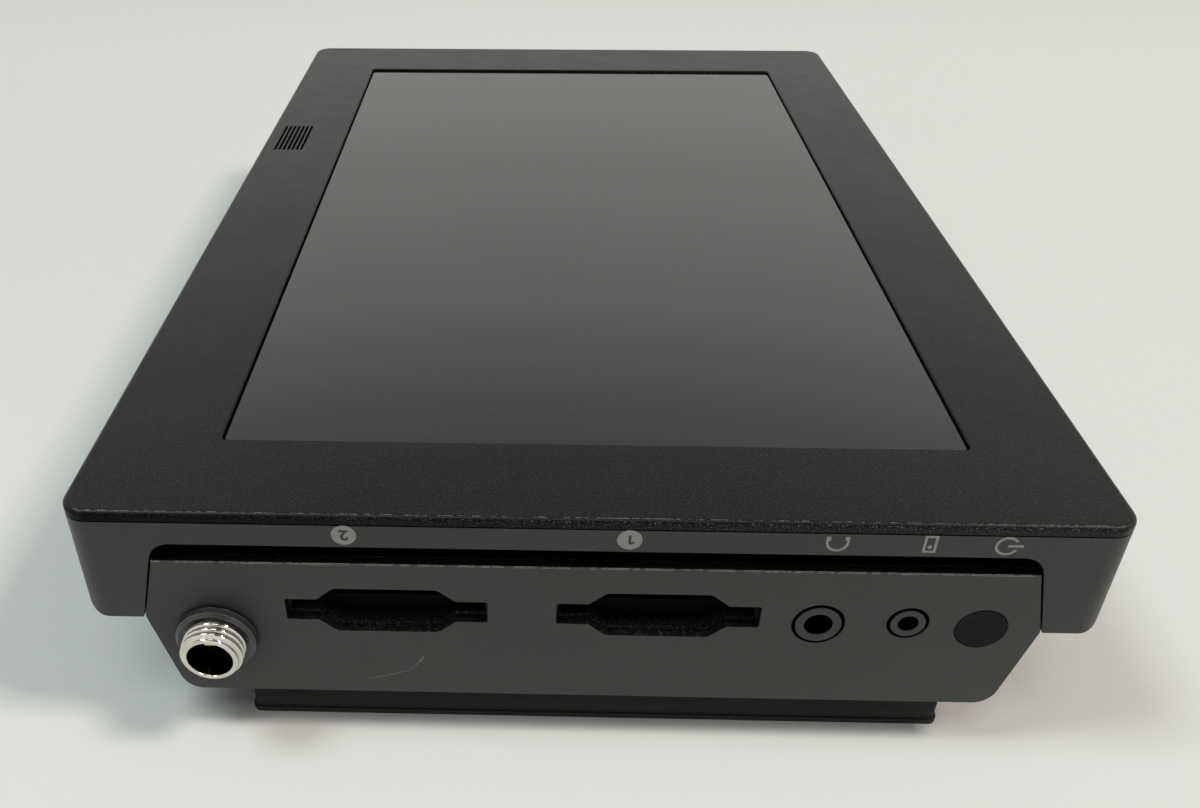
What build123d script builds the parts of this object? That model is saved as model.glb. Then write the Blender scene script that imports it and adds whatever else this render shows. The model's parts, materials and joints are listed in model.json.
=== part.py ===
from build123d import *
import math
import os

os.makedirs("parts", exist_ok=True)

# All sizes are in millimetres. The monitor lies on its back: +Z comes out of the screen,
# +X points to its own top edge, -Y is the side with the card slots and +Y the video side.
# The origin is on the rear resting face, under the middle of the body.

# Body
body_width = 128.35
body_length = 185.3
corner_radius = 3.4
floor_thickness = 2.0
bezel_edge = 1.35
bezel_round = 0.65
bezel_plate = 2.3
skirt_thickness = 1.2
skirt_drop = 2.1
boss_drop = 3.2
parting_gap = 0.2
side_height = 15.7
cover_height = 13.25
deck_height = 8.0
housing_wall = 2.0
housing_round = 3.0
shell_fit = 0.15

# Speaker slots in the bezel, and the speaker behind them
speaker_slots = 7
speaker_pitch = 0.9
speaker_slot = 0.5
speaker_inset = 5.63
speaker_y = 28.85
speaker_slot_length = 13.5
speaker_length = 21.0
speaker_gap = 0.1
speaker_side = 0.75
speaker_depth = 4.4
speaker_rim = 0.7
speaker_mouth = 1.2

# Borders of the bezel round its window, and the screen and what lies under it
bezel_left = 16.35
bezel_right = 15.45
bezel_near = 14.95
bezel_far = 17.35
window_radius = 0.8
window_chamfer = 0.2
glass_gap = 0.2
glass_recess = 0.5
glass_thickness = 1.8
glass_chamfer = 0.15
lcd_margin = 3.5
lcd_thickness = 2.6
backlight_thickness = 1.7
bracket_sheet = 0.8
bracket_slot = 1.2
bracket_drop = 0.4
tab_overlap = 6.0
display_clearance = 0.3
ribbon_width = 24.0
ribbon_sheet = 0.25
ribbon_y = 34.0
ribbon_run = 8.0
ribbon_bend = 3.0
socket_height = 2.0
socket_rim = 1.5
socket_front = 3.0
socket_mouth = 0.6
foot_length = 12.0
foot_depth = 2.0

# Rear module: a six-sided trough with a flat panel on each end
waist_margin = 7.825
side_draft = math.radians(13.8)
module_top = 9.6
module_radius = 3.0
cover_wall = 1.8
panel_thickness = 1.5
panel_gap = 0.2
panel_chamfer = 0.12
vent_gap = 2.8
tab_half = 5.0
tab_thickness = 1.6

# Spare widths between the ports, from the bottom edge to the top edge of the monitor
port_gaps = (3.6, 4.225, 8.65, 4.025, 5.15, 3.42, 4.27)
video_gaps = (9.25, 4.8, 4.4, 5.0, 6.9, 14.75)

# Card slots, with their height above the rear face of the cover
card_height = 14.95
slot_width = 25.45
slot_height = 3.5
slot_radius = 0.3
notch_width = 12.9
notch_height = 7.3
notch_slope = 2.25
notch_radius = 1.2
notch_depth = 2.9
card_gap_width = 24.8
card_gap_height = 2.6
guide_depth = 5.0
guide_rim = 1.6
reader_wall = 0.7
reader_depth = 28.0

# Round ports
headphone_height = 13.95
headphone_collar = 2.85
headphone_bore = 1.8
headphone_depth = 13.0
headphone_body = 7.0
remote_height = 14.42
remote_collar = 2.15
remote_bore = 1.3
remote_depth = 10.5
remote_body = 5.6
jack_setback = 0.8
jack_back = 1.0
collar_gap = 0.45
button_height = 13.65
button_radius = 3.18
button_clearance = 0.07
button_travel = 0.6
button_stem = 4.2
button_flange = 0.9
stem_radius = 1.5
plunger_radius = 1.2
plunger_reach = 2.4
plunger_clearance = 0.08
switch_clearance = 0.3
switch_width = 6.0
switch_depth = 4.4
power_height = 9.95
barrel_radius = 4.0
barrel_root = 3.6
barrel_bore = 2.9
barrel_reach = 4.1
barrel_lip = 0.7
barrel_flange = 2.0
nut_radius = 5.15
nut_thickness = 1.35
pin_radius = 1.0
panel_clearance = 0.1
thread_gap = 0.03
socket_depth = 7.0
socket_back = 2.0
socket_wall = 2.0
leaf_width = 1.7
leaf_sheet = 0.3

# Video side
sdi_height = 12.0
sdi_barrel = 4.85
sdi_bore = 4.05
sdi_neck = 6.2
sdi_reach = 10.4
sdi_nut = 14.3
sdi_nut_height = 2.3
sdi_neck_length = 2.8
sdi_base_depth = 5.5
sdi_base_rim = 0.9
sdi_bore_depth = 8.0
sdi_lug_radius = 1.1
sdi_lug_reach = 0.75
sdi_lug_back = 4.2
sdi_core_radius = 2.4
sdi_core_bore = 0.7
sdi_core_back = 2.2
hdmi_width = 15.0
hdmi_height = 5.6
hdmi_depth = 12.0
usb_width = 9.2
usb_height = 3.4
usb_depth = 8.0
port_wall = 0.4
port_clearance = 0.25
port_back = 1.0
tongue_thickness = 1.0

# Boards and cooling
post_height = 7.8
post_radius = 2.6
board_thickness = 1.6
board_inset = 1.2
board_front = 6.8
post_inset = 8.0
post_near = 26.55
post_middle = 11.1
post_far = 24.75
screw_bite = 0.05
chip_size = 26.0
chip_thickness = 1.6
sink_size = 54.0
sink_base = 2.2
sink_height = 8.4
fin_count = 11
fin_thickness = 1.3
chip_y = -12.0
cell_radius = 6.2
cell_height = 2.0
cell_inset = 17.55
cell_y = 25.9
fan_size = 40.0
fan_height = 6.8
fan_inset = 30.65
fan_bore = 18.6
fan_hub = 8.2
fan_pin = 1.5
fan_clearance = 0.05
fan_tip_gap = 0.8
blade_count = 7
fan_arms = 3
arm_width = 2.4
arm_thickness = 0.9
fan_screw_inset = 3.6

# Battery deck
deck_left = 7.4
deck_right = 4.5
deck_setback = 3.35
deck_radius = 0.8
foot_flange = 0.3
foot_flange_height = 0.8
bay_width = 39.4
bay_rim = 3.05
bay_radius = 2.0
bay_depth = 6.2
bay_spacing = 46.4
hook_reach = 1.6
hook_length = 8.0
hook_root = 0.5
hook_start = 16.0
hook_pitch = 33.6
hook_thickness = 1.3
hook_drop = 1.0
contact_width = 22.0
contact_length = 5.6
contact_height = 4.8
contact_slope = 0.8
blade_thickness = 0.8
blade_reach = 4.2
blade_pitch = 7.3
latch_width = 11.8
latch_length = 10.4
latch_inset = 1.2
latch_ridges = 3
ridge_pitch = 1.6
ridge_width = 0.7
ridge_depth = 0.4
pad_drop = 1.8
tab_flat = 1.6
tab_ramp = 1.8
latch_travel = 3.2
latch_clearance = 0.3
latch_flange = 1.4
latch_plate = 1.0
guide_wall = 1.0
guide_board_gap = 0.6
spring_radius = 2.4
spring_wire = 0.3
spring_turns = 4
spring_gap = 0.03
grille_side = 5.3
grille_end = 7.3
grille_inner = 8.1
grille_radius = 1.4
grille_thickness = 1.8
grille_ledge = 2.0
grille_drop = 1.2
grille_slots = 11
grille_slot = 3.0
grille_tip = 4.0
grille_border = 7.0
grille_clearance = 0.2

# Fasteners and sockets for a tripod screw
case_screw = 1.0
case_head = 2.1
case_boss = 2.4
deck_screw = 1.25
deck_head = 2.6
deck_boss = 3.0
deck_boss_rise = 2.8
deck_screw_side = 4.6
deck_screw_end = 4.2
deck_screw_inner = 4.0
screw_clearance = 0.15
head_height = 1.4
deck_head_inset = 0.6
tripod_radius = 3.175
insert_radius = 4.3
insert_length = 7.8
insert_spacing = 62.0
insert_block = 2.0

# Heights up from the table
z_rear = deck_height
z_floor = z_rear + cover_wall
z_waist = z_rear + cover_height
z_side_top = z_waist + side_height
z_bezel = z_side_top + parting_gap
z_top = z_bezel + bezel_edge
z_under = z_top - bezel_plate
z_boss = z_under - boss_drop
z_module = z_waist + module_top
z_cut = z_module + vent_gap
z_board = z_floor + post_height
z_board_top = z_board + board_thickness
z_card = z_rear + card_height
z_glass = z_top - glass_recess
z_lcd = z_glass - glass_thickness - lcd_thickness
z_light = z_lcd - backlight_thickness

# Places across and along the body
waist_half = body_width / 2 - waist_margin
rear_half = waist_half - cover_height * math.tan(side_draft)
window_width = body_width - bezel_left - bezel_right
window_length = body_length - bezel_near - bezel_far
window_x = (bezel_left - bezel_right) / 2
window_y = (bezel_near - bezel_far) / 2
x_wall = body_width / 2 - housing_wall
y_wall = body_length / 2 - housing_wall
y_face = body_length / 2
y_panel = y_face - panel_thickness
y_board = y_face - board_front
boss_x = x_wall - case_boss - 0.2
boss_y = (y_wall - 6.6, body_length / 4 + 0.2)
tab_y = body_length / 6
tab_x = (waist_half + x_wall) / 2
tab_low = z_waist + floor_thickness
tab_top = tab_low + tab_thickness
stem_end = -y_panel + button_stem
guide_top = z_board - guide_board_gap
tripod_z = (z_waist + z_side_top) / 2
speaker_x = speaker_inset - body_width / 2
display_side = lcd_margin + display_clearance + bracket_sheet + speaker_side
speaker_outer = x_wall - shell_fit - speaker_gap
speaker_width = speaker_outer + window_x - window_width / 2 - display_side
fan_y = body_length / 2 - fan_inset
deck_width = 2 * rear_half - deck_left - deck_right
deck_length = body_length - 2 * deck_setback
deck_x = (deck_left - deck_right) / 2
bay_length = deck_width - 2 * bay_rim
bay_x = (deck_x - bay_length / 2, deck_x + bay_length / 2)
bays_y = (-bay_spacing / 2, bay_spacing / 2)
bays_edge = (bay_spacing + bay_width) / 2
latch_x = bay_x[1] - latch_inset - latch_length / 2
grille_width = deck_width - 2 * grille_side
grille_length = deck_length / 2 - bays_edge - grille_inner - grille_end
grille_y = deck_length / 2 - grille_end - grille_length / 2
deck_screw_x = deck_width / 2 - deck_screw_side
deck_screw_y = (deck_length / 2 - deck_screw_end, bays_edge + deck_screw_inner)


def block(x_low, x_high, y_low, y_high, z_low, z_high):
    """Box between two corners."""
    middle = Pos((x_low + x_high) / 2, (y_low + y_high) / 2, (z_low + z_high) / 2)
    return middle * Box(x_high - x_low, y_high - y_low, z_high - z_low)


def rod_x(radius, y, z, x_low, x_high):
    return Pos((x_low + x_high) / 2, y, z) * Rot(0, 90, 0) * Cylinder(radius, x_high - x_low)


def rod_y(radius, x, z, y_low, y_high):
    return Pos(x, (y_low + y_high) / 2, z) * Rot(90, 0, 0) * Cylinder(radius, y_high - y_low)


def rod_z(radius, x, y, z_low, z_high):
    return Pos(x, y, (z_low + z_high) / 2) * Cylinder(radius, z_high - z_low)


def plate(width, length, radius, z_low, z_high, x=0.0, y=0.0):
    """Flat plate with rounded upright corners."""
    return extrude(Pos(x, y, z_low) * RectangleRounded(width, length, radius), z_high - z_low)


def across_y(outline, y_low, y_high):
    """Solid of an outline drawn in X and Z, between two Y values."""
    return extrude(Plane.XZ.offset(-y_high) * outline, y_high - y_low)


def mirrored(places):
    """Each place and its mirror image on the other side of the middle."""
    return [sign * place for place in places for sign in (-1, 1)]


def module_half(z, inset=0.0):
    """Half the width of the rear module at a height, taken in at right angles by inset."""
    return waist_half - abs(z - z_waist) * math.tan(side_draft) - inset / math.cos(side_draft)


def module_outline(inset, z_low, z_high, low_radius=0.0, high_radius=0.0):
    """Six-sided section of the rear module, widest at the waist."""
    right = [(module_half(z, inset), z) for z in (z_low, z_waist, z_high)]
    left = [(-x, z) for x, z in reversed(right)]
    outline = make_face(Polyline(*right, *left, close=True))
    if low_radius:
        outline = fillet(outline.vertices().group_by(Axis.Y)[0], low_radius)
    if high_radius:
        outline = fillet(outline.vertices().group_by(Axis.Y)[-1], high_radius)
    return outline


def spread(widths, gaps):
    """Middles of ports side by side over the waist, with the spare width shared out as the gaps say."""
    share = (2 * waist_half - sum(widths)) / sum(gaps)
    middles = []
    x = -waist_half
    for width, gap in zip(widths, gaps):
        x += gap * share + width / 2
        middles.append(x)
        x += width / 2
    return middles


port_widths = (2 * nut_radius, slot_width, slot_width, 2 * (headphone_collar + collar_gap),
               2 * (remote_collar + collar_gap), 2 * button_radius)
power_x, card_low, card_high, headphone_x, remote_x, button_x = spread(port_widths, port_gaps)
card_x = (card_high, card_low)
sdi_base = 2 * (sdi_neck + sdi_base_rim)
video_places = spread((sdi_base, sdi_base, hdmi_width, hdmi_width, usb_width), video_gaps)
sdi_x = video_places[:2]
hdmi_x = video_places[2:4]
usb_x = video_places[4]


def boss_places():
    return [(x, y) for x in mirrored([boss_x]) for y in mirrored(boss_y)]


def tab_places():
    return [(side, y) for side in (-1, 1) for y in mirrored([tab_y])]


def deck_screw_places():
    return [(deck_x + x, y) for x in mirrored([deck_screw_x]) for y in mirrored(deck_screw_y)]


def post_places():
    half = module_half(z_board) - cover_wall - post_inset
    return [(x, y) for x in (-half, half) for y in (post_near - y_board, post_middle, y_board - post_far)]


def board_half():
    return module_half(z_board) - cover_wall - board_inset


def insert_places():
    return [(side, y) for side in (-1, 1) for y in (-insert_spacing, 0.0, insert_spacing)]


def front_bezel():
    """Textured front frame: rim, inner plate, locating skirt, screw posts, speaker slots."""
    rim = plate(body_width, body_length, corner_radius, z_bezel, z_top)
    rim = fillet(rim.edges().group_by(Axis.Z)[-1], bezel_round)
    inner_width = 2 * (x_wall - shell_fit)
    inner_length = 2 * (y_wall - shell_fit)
    inner_radius = corner_radius - housing_wall
    bezel = rim + plate(inner_width, inner_length, inner_radius, z_under, z_bezel)
    z_skirt = z_under - skirt_drop
    skirt = plate(inner_width, inner_length, inner_radius, z_skirt, z_under)
    walls = 2 * skirt_thickness
    skirt -= plate(inner_width - walls, inner_length - walls, 0.5, z_skirt, z_under)
    reach = speaker_length / 2 + speaker_gap
    bezel += skirt - block(-x_wall, -inner_width / 2 + skirt_thickness, speaker_y - reach, speaker_y + reach,
                           z_skirt, z_under)
    for x, y in boss_places():
        bezel += rod_z(case_boss, x, y, z_boss, z_under)
        bezel -= rod_z(case_screw + screw_bite, x, y, z_boss, z_under + 1.0)
    bezel -= plate(window_width, window_length, window_radius, z_under, z_top, window_x, window_y)
    window = Pos(window_x, window_y, z_top - window_chamfer)
    window *= RectangleRounded(window_width, window_length, window_radius)
    bezel -= extrude(window, window_chamfer, taper=-45)
    for index in range(speaker_slots):
        x = speaker_x + (index - (speaker_slots - 1) / 2) * speaker_pitch
        half = speaker_slot / 2
        reach = speaker_slot_length / 2
        bezel -= block(x - half, x + half, speaker_y - reach, speaker_y + reach, z_under, z_top)
    return bezel


def speaker():
    """Small oblong speaker with its cone frame, stuck under the slots."""
    top_edge = (Align.MIN, Align.CENTER, Align.MAX)
    box = Box(speaker_width, speaker_length, speaker_depth, align=top_edge)
    rims = 2 * speaker_rim
    mouth = Box(speaker_width - rims, speaker_length - rims, speaker_mouth, align=top_edge)
    return Pos(-speaker_outer, speaker_y, z_under) * (box - Pos(speaker_rim, 0, 0) * mouth)


def screen_glass():
    """Cover glass, a little below the rim of the window."""
    pane = plate(window_width - 2 * glass_gap, window_length - 2 * glass_gap, window_radius,
                 z_glass - glass_thickness, z_glass, window_x, window_y)
    return chamfer(pane.edges().group_by(Axis.Z)[-1], glass_chamfer)


def display_layer(z_low, z_high, inset):
    width = window_width + 2 * (lcd_margin - inset)
    length = window_length + 2 * (lcd_margin - inset)
    return plate(width, length, 1.0, z_low, z_high, window_x, window_y)


def display_bracket():
    """Folded sheet tray that carries the display and stands on the rear module."""
    z_low = z_light - bracket_sheet
    tray = display_layer(z_low, z_under - bracket_drop, -display_clearance - bracket_sheet)
    foot_half = module_half(z_module) - bracket_drop
    for side in (-1, 1):
        tab_end = window_x + side * (window_width / 2 - tab_overlap)
        for y in mirrored([0.3 * body_length, 0.08 * body_length]):
            foot_y = (y - foot_length / 2, y + foot_length / 2)
            tray += block(*sorted((tab_end, side * foot_half)), *foot_y, z_low, z_light)
            foot_x = sorted((side * (foot_half - cover_wall - foot_depth), side * foot_half))
            tray += block(*foot_x, *foot_y, z_module, z_low)
    tray -= display_layer(z_light, z_under, -display_clearance)
    slot_x = ribbon_width / 2 + bracket_slot
    slot_y = (ribbon_y - bracket_slot, ribbon_y + bracket_slot)
    return tray - block(-slot_x, slot_x, *slot_y, z_low, z_light)


def display_ribbon():
    """Flat cable: straight down through the bracket, then along into its socket."""
    z_socket = z_board_top + socket_height / 2
    points = [(ribbon_y, z_light), (ribbon_y, z_socket), (ribbon_y + ribbon_run, z_socket)]
    path = Plane.YZ * FilletPolyline(*points, radius=ribbon_bend)
    start = Plane(origin=path @ 0, x_dir=(1, 0, 0), z_dir=path % 0)
    return sweep(start * Rectangle(ribbon_width, ribbon_sheet), path=path)


def ribbon_socket():
    half = ribbon_width / 2 + socket_rim
    y_end = ribbon_y + ribbon_run
    y_low = y_end - socket_front
    box = block(-half, half, y_low, y_end + socket_rim, z_board_top, z_board_top + socket_height)
    mouth_half = (ribbon_width + socket_mouth) / 2
    z_mouth = z_board_top + (socket_height - socket_mouth) / 2
    return box - block(-mouth_half, mouth_half, y_low, y_end, z_mouth, z_mouth + socket_mouth)


def housing_frame():
    """Smooth side housing: walls, floor strips, screw bosses and tripod blocks."""
    body = plate(body_width, body_length, corner_radius, z_waist, z_side_top)
    section = Rectangle(body_width, side_height)
    section = fillet(section.vertices().group_by(Axis.Y)[0], housing_round)
    body &= across_y(Pos(0, z_waist + side_height / 2) * section, -y_face, y_face)
    body -= plate(2 * x_wall, 2 * y_wall, corner_radius - housing_wall, z_waist + floor_thickness, z_side_top)
    for x, y in boss_places():
        web = sorted((x, math.copysign(x_wall + 0.5, x)))
        body += rod_z(case_boss, x, y, z_waist + 0.5, z_boss)
        body += block(*web, y - 1.0, y + 1.0, z_waist + 0.5, z_boss)
        body -= rod_z(case_screw + screw_clearance, x, y, z_waist, z_boss)
        body -= rod_z(case_head + screw_clearance, x, y, z_waist, z_waist + head_height)
    for side, y in insert_places():
        reach = sorted((side * (body_width / 2 - insert_length), side * (x_wall + 0.5)))
        half = insert_radius + insert_block
        body += block(*reach, y - half, y + half, z_waist + 1.0, tripod_z + insert_radius + 0.5)
        hole = sorted((side * (body_width / 2 - insert_length), side * body_width / 2))
        body -= rod_x(insert_radius, y, tripod_z, *hole)
    for side, y in tab_places():
        body -= rod_z(case_screw + screw_bite, side * tab_x, y, z_waist + 0.6, z_waist + floor_thickness)
    opening = module_outline(-panel_gap, z_waist - 1.0, z_cut, high_radius=module_radius)
    return body - across_y(opening, -y_face, y_face)


def rear_cover():
    """Rear module: six-sided trough with board posts, screw bosses, vents and latch wells."""
    trough = across_y(module_outline(0.0, z_rear, z_module, low_radius=module_radius), -y_panel, y_panel)
    hollow = module_outline(cover_wall, z_floor, z_module + 1.0, low_radius=module_radius - cover_wall)
    trough -= across_y(hollow, -y_panel, y_panel)
    for side, y in tab_places():
        reach = sorted((side * (module_half(tab_top) - cover_wall / 2), side * (x_wall - 0.4)))
        trough += block(*reach, y - tab_half, y + tab_half, tab_low, tab_top)
        trough -= rod_z(case_screw + screw_clearance, side * tab_x, y, tab_low, tab_top)
    for x, y in post_places():
        trough += rod_z(post_radius, x, y, z_floor, z_board)
        trough -= rod_z(case_screw + screw_bite, x, y, z_floor + 1.0, z_board)
    for x, y in deck_screw_places():
        trough += rod_z(deck_boss, x, y, z_floor, z_floor + deck_boss_rise)
        trough -= rod_z(deck_screw + screw_bite, x, y, z_rear, z_floor + deck_boss_rise - 0.6)
    for x in grille_slot_places():
        half = grille_slot / 2
        reach = grille_length / 2 - grille_tip
        trough -= block(x - half, x + half, -grille_y - reach, -grille_y + reach, z_rear, z_floor)
    trough -= rod_z(fan_bore - 0.5, 0, fan_y, z_rear, z_floor)
    for x, y in fan_screw_places():
        trough -= rod_z(case_screw + screw_bite, x, y, z_rear + 0.4, z_floor)
    width, length = guide_size()
    half_x = length / 2 + latch_clearance
    half_y = width / 2 + latch_clearance
    for y in bays_y:
        trough -= block(latch_x - half_x, latch_x + half_x, y - half_y, y + half_y, z_rear, z_floor)
    return trough


def panel(holes, y_low, y_high, outside):
    """End panel of the module with its ports cut out and its outside edges broken."""
    outline = module_outline(0.0, z_rear, z_module, low_radius=module_radius)
    for hole in holes:
        outline -= hole
    sheet = across_y(outline, y_low, y_high)
    return chamfer(sheet.edges().group_by(Axis.Y)[outside], panel_chamfer)


def card_outline(x, quarter):
    """Outline of a card opening from its upper right quarter, with rounded corners."""
    upper = quarter + [(-a, b) for a, b in reversed(quarter)]
    lower = [(a, -b) for a, b in reversed(upper)]
    outline = make_face(Polyline(*upper, *lower, close=True))
    for axis, radius in ((Axis.Y, notch_radius), (Axis.X, slot_radius)):
        corners = outline.vertices().group_by(axis)
        outline = fillet(corners[0] + corners[-1], radius)
    return Pos(x, z_card) * outline


def notch_quarter():
    """Notch in the middle of a card slot, for a fingertip."""
    return [(notch_width / 2 + notch_slope, slot_height / 2), (notch_width / 2, notch_height / 2)]


def slot_quarter():
    """Card slot with its notch."""
    return [(slot_width / 2, slot_height / 2)] + notch_quarter()


def port_panel():
    """Panel with two card slots, the power jack, two round sockets and the power button."""
    holes = [card_outline(x, slot_quarter()) for x in card_x]
    holes.append(Pos(headphone_x, z_rear + headphone_height) * Circle(headphone_collar + collar_gap))
    holes.append(Pos(remote_x, z_rear + remote_height) * Circle(remote_collar + collar_gap))
    holes.append(Pos(button_x, z_rear + button_height) * Circle(button_radius + button_clearance))
    holes.append(Pos(power_x, z_rear + power_height) * Circle(barrel_root + panel_clearance))
    return panel(holes, -y_face, -y_panel, 0)


def connector_panel():
    """Panel with two coaxial sockets, two video sockets and a data socket."""
    z_port = z_board_top
    holes = [Pos(x, z_rear + sdi_height) * Circle(sdi_neck + panel_clearance) for x in sdi_x]
    for x in hdmi_x:
        holes.append(Pos(x, z_port + hdmi_height / 2) * hdmi_outline(port_clearance))
    holes.append(Pos(usb_x, z_port + usb_height / 2) * usb_outline(port_clearance))
    return panel(holes, y_panel, y_face, -1)


def hdmi_outline(grow):
    """Video socket section: a rectangle with its lower corners cut off."""
    half = hdmi_width / 2 + grow
    rise = hdmi_height / 2 + grow
    cut = 0.36 * hdmi_height
    points = [(half, rise), (half, -rise + cut), (half - cut, -rise)]
    return make_face(Polyline(*points, *[(-a, b) for a, b in reversed(points)], close=True))


def usb_outline(grow):
    height = usb_height + 2 * grow
    return RectangleRounded(usb_width + 2 * grow, height, height / 2 - 0.01)


def card_guide(x):
    """Moulded guide behind a card slot, scooped out for the fingertip."""
    half = slot_width / 2 + guide_rim
    rise = notch_height / 2 + guide_rim / 2
    guide = block(x - half, x + half, -y_panel, -y_panel + guide_depth, z_card - rise, z_card + rise)
    guide -= across_y(card_outline(x, notch_quarter()), -y_panel, -y_panel + notch_depth)
    gap = card_gap_width / 2
    rise = card_gap_height / 2
    return guide - block(x - gap, x + gap, -y_panel, -y_panel + guide_depth, z_card - rise, z_card + rise)


def card_reader(x):
    """Sheet-metal card reader standing on the board by two side rails."""
    y_front = -y_panel + guide_depth
    half = card_gap_width / 2 + reader_wall
    rise = card_gap_height / 2 + reader_wall
    reader = block(x - half, x + half, y_front, y_front + reader_depth, z_card - rise, z_card + rise)
    gap = card_gap_width / 2
    gap_rise = card_gap_height / 2
    depth = reader_depth - 1.5
    reader -= block(x - gap, x + gap, y_front, y_front + depth, z_card - gap_rise, z_card + gap_rise)
    for side in (-1, 1):
        rail = sorted((x + side * (half - 1.4), x + side * half))
        reader += block(*rail, y_front + 1.0, y_front + reader_depth, z_board_top, z_card - rise)
    return reader


def round_jack(x, height, collar, bore, depth, width):
    """Board jack whose round collar fills its hole in the panel."""
    z = z_rear + height
    y_front = -y_panel + jack_setback
    y_back = -y_face + depth + panel_thickness + jack_back
    body = block(x - width / 2, x + width / 2, y_front, y_back, z_board_top, 2 * z - z_board_top)
    body += rod_y(collar, x, z, -y_face, y_front)
    return body - rod_y(bore, x, z, -y_face, -y_face + depth)


def power_button():
    """Flush round cap with a stop collar behind the panel and a stem."""
    z = z_rear + button_height
    cap = rod_y(button_radius, button_x, z, -y_face, -y_panel)
    cap = chamfer(cap.edges().group_by(Axis.Y)[0], 0.15)
    cap += rod_y(button_radius + button_flange, button_x, z, -y_panel, -y_panel + button_flange)
    return cap + rod_y(stem_radius, button_x, z, -y_panel + button_flange, stem_end)


def switch_plunger():
    return rod_y(plunger_radius, button_x, z_rear + button_height, stem_end, stem_end + plunger_reach)


def power_switch():
    """Push switch on the board, with a bore for its plunger."""
    z = z_rear + button_height
    front = stem_end + button_travel + switch_clearance
    half = switch_width / 2
    body = block(button_x - half, button_x + half, front, front + switch_depth,
                 z_board_top, 2 * z - z_board_top)
    deepest = stem_end + plunger_reach + button_travel + switch_clearance
    return body - rod_y(plunger_radius + plunger_clearance, button_x, z, front, deepest)


def power_barrel():
    """Plated barrel for the locking power plug, with its flange behind the panel."""
    z = z_rear + power_height
    mouth = -y_face - barrel_reach
    nut_front = -y_face - nut_thickness
    barrel = rod_y(barrel_radius, power_x, z, mouth, nut_front)
    barrel = chamfer(barrel.edges().group_by(Axis.Y)[0], barrel_lip)
    barrel += rod_y(barrel_root, power_x, z, nut_front, -y_panel)
    barrel += rod_y(barrel_radius + 1.2, power_x, z, -y_panel, -y_panel + barrel_flange)
    return barrel - rod_y(barrel_bore, power_x, z, mouth, -y_panel + barrel_flange)


def power_nut():
    """Round black nut that clamps the barrel from outside."""
    z = z_rear + power_height
    nut = rod_y(nut_radius, power_x, z, -y_face - nut_thickness, -y_face)
    nut = chamfer(nut.edges().group_by(Axis.Y)[0], 0.4)
    return nut - rod_y(barrel_root + thread_gap, power_x, z, -y_face - nut_thickness, -y_face)


def power_socket():
    """Insulating body behind the barrel, closed at its back."""
    z = z_rear + power_height
    front = -y_panel + barrel_flange
    deepest = front + socket_depth
    socket = rod_y(barrel_bore + socket_wall, power_x, z, front, deepest + socket_back)
    socket -= rod_y(barrel_bore, power_x, z, front, deepest)
    return socket - rod_y(pin_radius, power_x, z, deepest, deepest + socket_back)


def power_pin():
    z = z_rear + power_height
    back = -y_panel + barrel_flange + socket_depth + socket_back
    pin = rod_y(pin_radius, power_x, z, -y_face + 2.0, back)
    return fillet(pin.edges().group_by(Axis.Y)[0], 0.4)


def power_leaf():
    """Sprung contact leaf along the top of the barrel's bore."""
    z = z_rear + power_height + barrel_bore
    y_mouth = -y_face - barrel_reach + 0.6
    points = [(y_mouth, z - 0.5), (y_mouth + 1.6, z - 0.95), (y_mouth + 6.0, z - 0.35)]
    lower = [(y, height - leaf_sheet) for y, height in reversed(points)]
    strip = Plane.YZ * make_face(Polyline(*points, *lower, close=True))
    return Pos(power_x + 0.4, 0, 0) * extrude(strip, leaf_width / 2, both=True)


def sdi_socket(x):
    """Coaxial bayonet socket: square base, threaded neck, barrel with two lugs."""
    z = z_rear + sdi_height
    y_end = y_face + sdi_reach
    y_neck = y_face + sdi_neck_length
    half = sdi_neck + sdi_base_rim
    lug = sdi_barrel + sdi_lug_reach
    socket = block(x - half, x + half, y_panel - sdi_base_depth, y_panel, z - half, z + half)
    socket += rod_y(sdi_neck, x, z, y_panel, y_neck)
    socket += rod_y(sdi_barrel, x, z, y_neck, y_end)
    socket += rod_z(sdi_lug_radius, x, y_end - sdi_lug_back, z - lug, z + lug)
    return socket - rod_y(sdi_bore, x, z, y_end - sdi_bore_depth, y_end)


def sdi_nut_ring(x):
    z = z_rear + sdi_height
    y_high = y_face + sdi_nut_height
    nut = across_y(Pos(x, z) * RegularPolygon(sdi_nut / 2, 6, major_radius=False), y_face, y_high)
    return nut - rod_y(sdi_neck + thread_gap, x, z, y_face, y_high)


def sdi_core(x):
    """Insulator sleeve that holds the centre contact."""
    z = z_rear + sdi_height
    y_end = y_face + sdi_reach
    y_front = y_end - sdi_core_back
    sleeve = rod_y(sdi_core_radius, x, z, y_end - sdi_bore_depth, y_front)
    return sleeve - rod_y(sdi_core_bore, x, z, y_end - sdi_bore_depth + 1.0, y_front)


def hdmi_socket(x):
    """Sheet-metal shell of a video socket, closed at its back."""
    outer = Pos(x, z_board_top + hdmi_height / 2) * hdmi_outline(0.0)
    inner = Pos(x, z_board_top + hdmi_height / 2) * hdmi_outline(-port_wall)
    shell = across_y(outer, y_face - hdmi_depth, y_face)
    return shell - across_y(inner, y_face - hdmi_depth + port_back, y_face)


def usb_socket():
    outer = Pos(usb_x, z_board_top + usb_height / 2) * usb_outline(0.0)
    inner = Pos(usb_x, z_board_top + usb_height / 2) * usb_outline(-port_wall)
    shell = across_y(outer, y_face - usb_depth, y_face)
    return shell - across_y(inner, y_face - usb_depth + port_back, y_face)


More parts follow.
